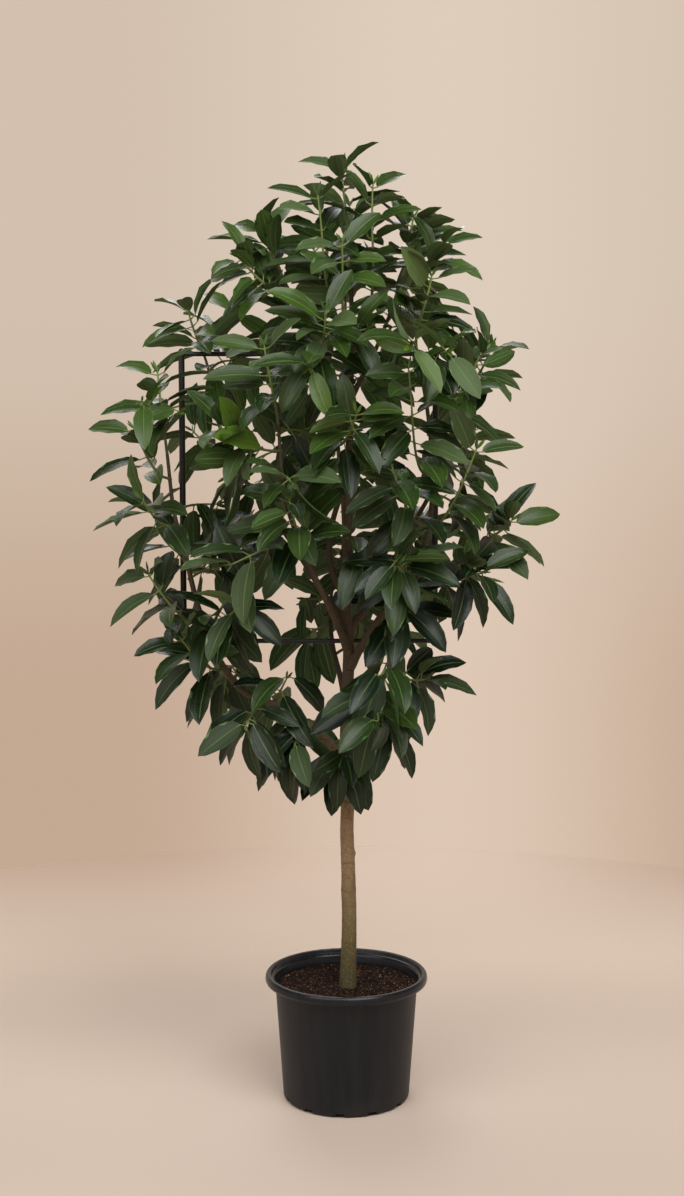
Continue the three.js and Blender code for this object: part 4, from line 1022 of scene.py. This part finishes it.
leaf_middles = [leaf.at(0.5) for limb, path, leaves in shoots for leaf in leaves]
leaves_seen = [spot for limb, path, leaves in shoots for leaf in leaves for spot in seen_of(leaf)]
wood = [(limb, p) for limb, route in routes.items() for p in route[6:] if p.z > WOOD_FROM]
wood += [(limb, p) for limb, path, leaves in shoots for p in path[1:3]]
more = []
for attempt in range(TRIES):
    if len(more) == MORE_SHOOTS:
        break
    target = Vector((luck.uniform(low_corner[k] + TARGET_MARGIN, high_corner[k] - TARGET_MARGIN) for k in range(3)))
    full = FULL_HEIGHTS[0] < target.z < FULL_HEIGHTS[1]
    if target.z < CROWN_FOOT or not full and luck.random() < SPARED:
        continue
    far, far_seen = how_far(leaf_middles, target), how_far(leaves_seen, seen_from_front(target))
    if attempt < FILLING_TRIES and far_seen.min() < EMPTY:
        continue
    if not NEAREST[0] < far.min() < NEAREST[1] or (far < NEIGHBOURS_IN).sum() < NEIGHBOURS:
        continue
    limb, seat = min(wood, key=lambda place: (place[1] - target).length)
    reach = (target - seat).length
    if not SHOOT_REACH[0] < reach < SHOOT_REACH[1]:
        continue
    hang = hang_at(target.z)
    out = (target - seat).normalized()
    lift = UP * (0.25 if hang < 1 else -0.1)
    rise = seat + (out + lift).normalized() * reach * 0.33
    path = smooth_path([seat, rise, seat.lerp(target, 0.67) + lift * reach * 0.2, target], reach / 4)
    strip = [p + UP * side for p in path[1:] for side in (-0.002, 0.002)]
    if BVHTree.FromPolygons(strip, [(i, i + 1, i + 3, i + 2) for i in range(0, len(strip) - 2, 2)]).overlap(solid):
        continue
    leaves = []
    pairs = 3 if reach > 0.08 else 2
    gone = np.linspace(0.45, 0.97, pairs)
    side = out.orthogonal().normalized()
    kept = len(placed)
    for j, share in enumerate(gone):
        k = min(int(share * (len(path) - 1)), len(path) - 2)
        ahead = (path[k + 1] - path[k]).normalized()
        centre = path[k].lerp(path[k + 1], share * (len(path) - 1) - k)
        side = ahead.cross(side).normalized()
        for outward in (side, -side):
            leaf = try_leaf(centre, SHOOT_GIRTH, outward, ahead, hang, (j / pairs) ** 2 * 0.6)
            if leaf:
                leaf.pair = j
                leaves.append(leaf)
    if len(leaves) < pairs or leaves[-1].pair < pairs - 1:
        del placed[kept:], placed_middles[kept:]
        continue
    more.append((limb, path, leaves))
    leaf_middles += [leaf.at(0.5) for leaf in leaves]
    leaves_seen += [spot for leaf in leaves for spot in seen_of(leaf)]
shoots += more

# every leaf turns a little about its midrib, to the side of the crown that it hangs on, if nothing is in its way
sway = random.Random(5)
every_leaf = [leaf for limb, path, leaves in shoots for leaf in leaves]
sheets = [BVHTree.FromPolygons(*leaf.sheet()) for leaf in every_leaf]
middles = np.array([leaf.at(0.5) for leaf in every_leaf])
for i, leaf in enumerate(every_leaf):
    near = [k for k in np.nonzero(how_far(middles, middles[i]) < NEAR_TURNED)[0] if k != i]
    side, up = leaf.side, leaf.face(0.4)
    to_side = Vector((0, -1 if middles[i][1] < BACK_FROM else 1, 0)) * sway.uniform(*TURN_TO_SIDE)
    for share in (1, 0.6, 0.3):
        leaf.side = (up + to_side * share).cross(leaf.way).normalized()
        sheet = BVHTree.FromPolygons(*leaf.sheet())
        if not any(sheet.overlap(sheets[k]) for k in near):
            sheets[i] = sheet
            break
        leaf.side = side

# a flat blade along each leaf's line, folded along its rib and waved at its edges, and a round stem along the others
nodes, given = tree_for("leafy_shoots", {
    "Sides": "Int", "Blade sides": "Int", "Fold": "Float", "Thickness": "Float", "Rib": "Float", "Wave": "Float",
    "Upper side": "Material", "Underside": "Material", "Stem": "Material"})
is_blade = nodes.given("is_blade")
split = nodes.add("SeparateGeometry", {"domain": "POINT"},
    {"Geometry": given["Shape"], "Selection": is_blade > 0.5})
others = Wire(nodes, split.socket.node.outputs["Inverted"])
line = nodes.add("MeshToCurve", inputs=(split,))
line = nodes.add("SetCurveNormal", {"mode": "FREE"},
    {"Curve": line, "Normal": nodes.given("side_way", "FLOAT_VECTOR")})
ring = unit_ring(nodes, given["Blade sides"])
spot = nodes.add("InputPosition")
for k, title in enumerate(("across", "level")):
    ring = nodes.add("StoreNamedAttribute",
        inputs={"Geometry": ring, "Name": title, "Value": nodes.axis(spot, k)})
across, level = nodes.given("across"), nodes.given("level")
keel = abs(across).step(0.3, 0.0) * level.step(0.0, -0.5) * given["Rib"]
raised = abs(across) ** 1.2 * given["Fold"] + level * given["Thickness"] - keel
flat = nodes.add("ShaderNodeCombineXYZ", inputs={"X": across, "Y": raised})
ring = nodes.add("SetPosition", inputs={"Geometry": ring, "Position": flat})
along, shade, half_width = (nodes.given(title) for title in ("along", "shade", "half_width"))
blade = nodes.add("CurveToMesh", inputs=(line, ring, half_width, True))
wave = (along * 17 + shade * 40 + across * 1.5).sine() * across * across * given["Wave"] * half_width
wave = nodes.scaled(nodes.given("face_way", "FLOAT_VECTOR"), wave)
blade = nodes.add("SetPosition", inputs={"Geometry": blade, "Offset": wave})
flat = nodes.add("ShaderNodeCombineXYZ", inputs={"X": across * 0.5 + 0.5, "Y": along})
blade = nodes.add("StoreNamedAttribute", {"data_type": "FLOAT2", "domain": "CORNER"},
    {"Geometry": blade, "Name": "UVMap", "Value": flat})
both = nodes.joined(blade, stems_along(nodes, others, given["Sides"]))
below = is_blade * level.step(-0.02, -0.03) > 0.5
closed_tree(nodes, both, (True, given["Stem"]), (is_blade > 0.5, given["Upper side"]), (below, given["Underside"]))
leafy_shoots = nodes

# the upper side: smooth, leathery and waxed; dark and bluish low in the crown and deep inside it, as painted shade,
# and paler high up, partly as painted light from above; yellower and paler where it is young
# LEAF_DARK is the colour of old leaves and of painted shade; LEAF_LIT is a painted light copy of it
LEAF_DARK = (0.0030, 0.0105, 0.0042)
LEAF_LIT = (0.038, 0.077, 0.0110)
LEAF_YOUNG = (0.125, 0.235, 0.016)
LEAF_DULL = (0.078, 0.112, 0.052)
# the pale of the veins, and of the painted highlight along each blade's margin
VEIN_PALE_AND_EDGE_HIGHLIGHT = (0.12, 0.20, 0.050)
UNDER_DARK = (0.028, 0.066, 0.022)
UNDER_DULL = (0.110, 0.170, 0.072)
UNDER_YOUNG = (0.10, 0.21, 0.03)
UNDER_VEIN = (0.19, 0.27, 0.09)


def veins(paint):
    """The midrib, the two long veins beside it and the fine ones across: 1 on them and 0 between them."""
    beside, along = abs(paint.given("across")), paint.given("along")
    midrib = beside.step(0.085, 0.03)
    long = abs(beside - 0.47 - 0.05 * along).step(0.055, 0.012) * along.step(0.02, 0.09) * along.step(0.97, 0.8)
    ladder = (along * 210 + (beside * 9).sine() * 1.4).sine().step(0.55, 1.0)
    return midrib, long, ladder


paint = Finish("leaf_upper_side")
midrib, long, ladder = veins(paint)
tint, shade = paint.given("tint"), paint.given("shade")
patches = paint.noise(55, detail=4)
# the tint runs from painted shade and old leaves through painted light to young leaves
colour = paint.tinted((tint + (patches - 0.5) * 0.22 + (shade - 0.5) * 0.2).clamped(),
    (0, LEAF_DARK), (0.55, LEAF_LIT), (1, LEAF_YOUNG))
dull = shade.step(0.72, 0.93)
# painted highlight: a pale line along the blade's margin, where the edge catches the light
edge = abs(paint.given("across")).step(0.94, 1.0)
colour = paint.layered(colour, (dull * (0.1 + 0.7 * tint), LEAF_DULL), (midrib * 0.45, VEIN_PALE_AND_EDGE_HIGHLIGHT),
    ((long * 0.11 + ladder * 0.04).clamped(), VEIN_PALE_AND_EDGE_HIGHLIGHT), (edge * 0.4, VEIN_PALE_AND_EDGE_HIGHLIGHT))
leaf_upper = paint.shader(base_color=colour, specular_ior_level=0.33,
    roughness=0.20 + 0.12 * patches + 0.12 * shade + 0.22 * dull,
    normal=paint.raised(0.5 * patches - midrib - 0.5 * long + 0.12 * ladder, 0.0005, 0.7))

# the underside: dull, grey-green, with the veins standing out
paint = Finish("leaf_underside")
midrib, long, ladder = veins(paint)
bloom = paint.noise(80, detail=4)
colour = paint.layered(UNDER_DARK, ((paint.given("tint") + (bloom - 0.5) * 0.3).clamped(), UNDER_YOUNG),
    (paint.given("shade").step(0.35, 1.0), UNDER_DULL),
    ((midrib * 0.7 + long * 0.5 + ladder * 0.1).clamped(), UNDER_VEIN))
leaf_under = paint.shader(base_color=colour, specular_ior_level=0.3, roughness=0.6 + 0.1 * bloom,
    normal=paint.raised(midrib + 0.7 * long + 0.15 * ladder, 0.0005, 0.7))

# stalks and stems: pale yellow-green and smooth, browner where they are older, with small pores
paint = Finish("young_stem")
age = paint.given("age")
pores = paint.pores(500, 500, 350).step(0.28, 0.12)
streaks = paint.noise(300, 300, 120)
colour = paint.tinted((age + (streaks - 0.5) * 0.3).clamped(),
    (0, (0.155, 0.215, 0.052)), (0.55, (0.100, 0.130, 0.038)), (1, (0.105, 0.080, 0.040)))
colour = paint.mixed(pores * age * 0.5, colour, (0.26, 0.22, 0.13))
young_stem = paint.shader(base_color=colour, roughness=0.5 + 0.2 * age,
    normal=paint.raised(streaks + pores, 0.0003, 0.6))

FULL_BEND, FULL_HALF_WIDTH = 0.15, 0.22  # of a leaf that shows its whole face, as shares of its length
NODE_SWELL = 1.18  # how much thicker a stem is at its leaves
STALK_SEATS = (0, 0, 0, 0.0004, 0.0006, 0.0006)  # how far below the blade its stalk runs
TINT_AND_LIGHT_HEIGHTS = (0.85, 0.75)  # where leaves begin to be painted paler, partly as younger growth and partly as painted light from above, and over what height they do
PAINTED_SHADE_REACH = (0.30, 0.22)  # painted shade: how far in from the sides and from the front and the back leaves are painted darker

for *spot, young, dull in FULL_FACED:
    leaf = min((leaf for leaf in every_leaf if leaf.at(0.5).y < 0.02),
        key=lambda leaf: (Vector(seen_from_front(leaf.at(0.5))) - Vector(spot)).length + 0.25 * leaf.at(0.5).y)
    up = (camera.location - leaf.start).normalized() + UP * 0.5
    up = (up - up.project(leaf.way)).normalized()
    leaf.side = up.cross(leaf.way).normalized()
    leaf.bend = -up * leaf.way.length * FULL_BEND
    leaf.half = leaf.way.length * FULL_HALF_WIDTH
    leaf.young, leaf.dull = young, dull
for limb in ("trunk", *LIMB_ROUTES):
    lines = []  # each is a list of points, and of their values by name
    for name, path, leaves in shoots:
        if name != limb:
            continue
        tip, before = path[-1], path[-2]
        ahead = (tip - before).normalized()
        foot = path[0] - (path[1] - path[0]).normalized() * FOOT
        stem = smooth_path([foot, *path], STEM_STEP)
        share = np.linspace(0, 1, len(stem))
        plain = [STEM_GIRTHS[0] + (STEM_GIRTHS[1] - STEM_GIRTHS[0]) * s for s in share]
        girth = [*plain[:-1], STEM_END]
        for leaf in leaves:
            k = min(range(len(stem)), key=lambda i: (stem[i] - leaf.root).length)
            if k < len(stem) - 1:
                girth[k] = plain[k] * NODE_SWELL
        lines.append((stem, {"girth": girth, "age": [max(0, 0.85 - 1.1 * s) for s in share]}))
        side = ahead.orthogonal().normalized()
        for k in range(TINY_LEAVES):
            out = (side * (-1) ** k + ahead * luck.uniform(0.9, 1.7)).normalized()
            if k == 1:
                side = ahead.cross(side)
            length = luck.uniform(*TINY_LEAF)
            up = (ahead - ahead.project(out)).normalized()
            start = tip - ahead * 0.008 + out * 0.002
            leaf = Leaf(tip - ahead * 0.009, start, out * length, up * length * 0.2, length * 0.17, up)
            leaf.young = TINY_YOUNG
            leaves.append(leaf)
        for leaf in leaves:
            if leaf.half > STALKED:
                ends = [leaf.root, leaf.root.lerp(leaf.start, 0.35), *(leaf.at(s) for s in (0, 0.08, 0.18, 0.3))]
                stalk = [p - leaf.face(0) * d for p, d in zip(ends, STALK_SEATS)]
                lines.append((stalk, {"girth": STALK_GIRTHS, "age": 0.1}))
            middle = leaf.at(0.5)
            # painted light: leaves are painted paler higher in the crown, partly for younger growth and partly for
            # the light from above
            height = min(max((middle.z - TINT_AND_LIGHT_HEIGHTS[0]) / TINT_AND_LIGHT_HEIGHTS[1], 0), 1)
            # painted shade: leaves deep inside the crown are painted darker
            painted_shade = 1 - min(math.hypot(middle.x / PAINTED_SHADE_REACH[0], middle.y / PAINTED_SHADE_REACH[1]), 1)
            tint = 0.06 + 0.46 * height + 0.30 * leaf.young - 0.26 * painted_shade + luck.uniform(-0.17, 0.17)
            tint = min(1, max(0, tint))
            lines.append(([leaf.at(s) for s in ROWS], {
                "half_width": [max(leaf.half * width_at(s), LEAST_WIDTHS[s >= 0.5]) for s in ROWS],
                "along": ROWS, "side_way": leaf.side, "face_way": [leaf.face(s) for s in ROWS], "tint": tint,
                "shade": luck.random() if leaf.dull is None else leaf.dull, "is_blade": 1}))
    mesh = strands("sprays_" + limb, lines, side_way=UP, face_way=UP,
        **dict.fromkeys(("half_width", "along", "tint", "shade", "is_blade", "girth", "age"), 0))
    sprays = shaped("sprays_" + limb, mesh, leafy_shoots, {
        "Sides": 6, "Blade sides": 8, "Fold": 0.36, "Thickness": 0.035, "Rib": 0.05, "Wave": 0.09,
        "Upper side": leaf_upper, "Underside": leaf_under, "Stem": young_stem})
    stands_for = (n for n in sorted(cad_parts) if n.startswith("shoot_") and n.split("_", 2)[2] == limb)
    handed_over(sprays, 50, "leaf", *stands_for)
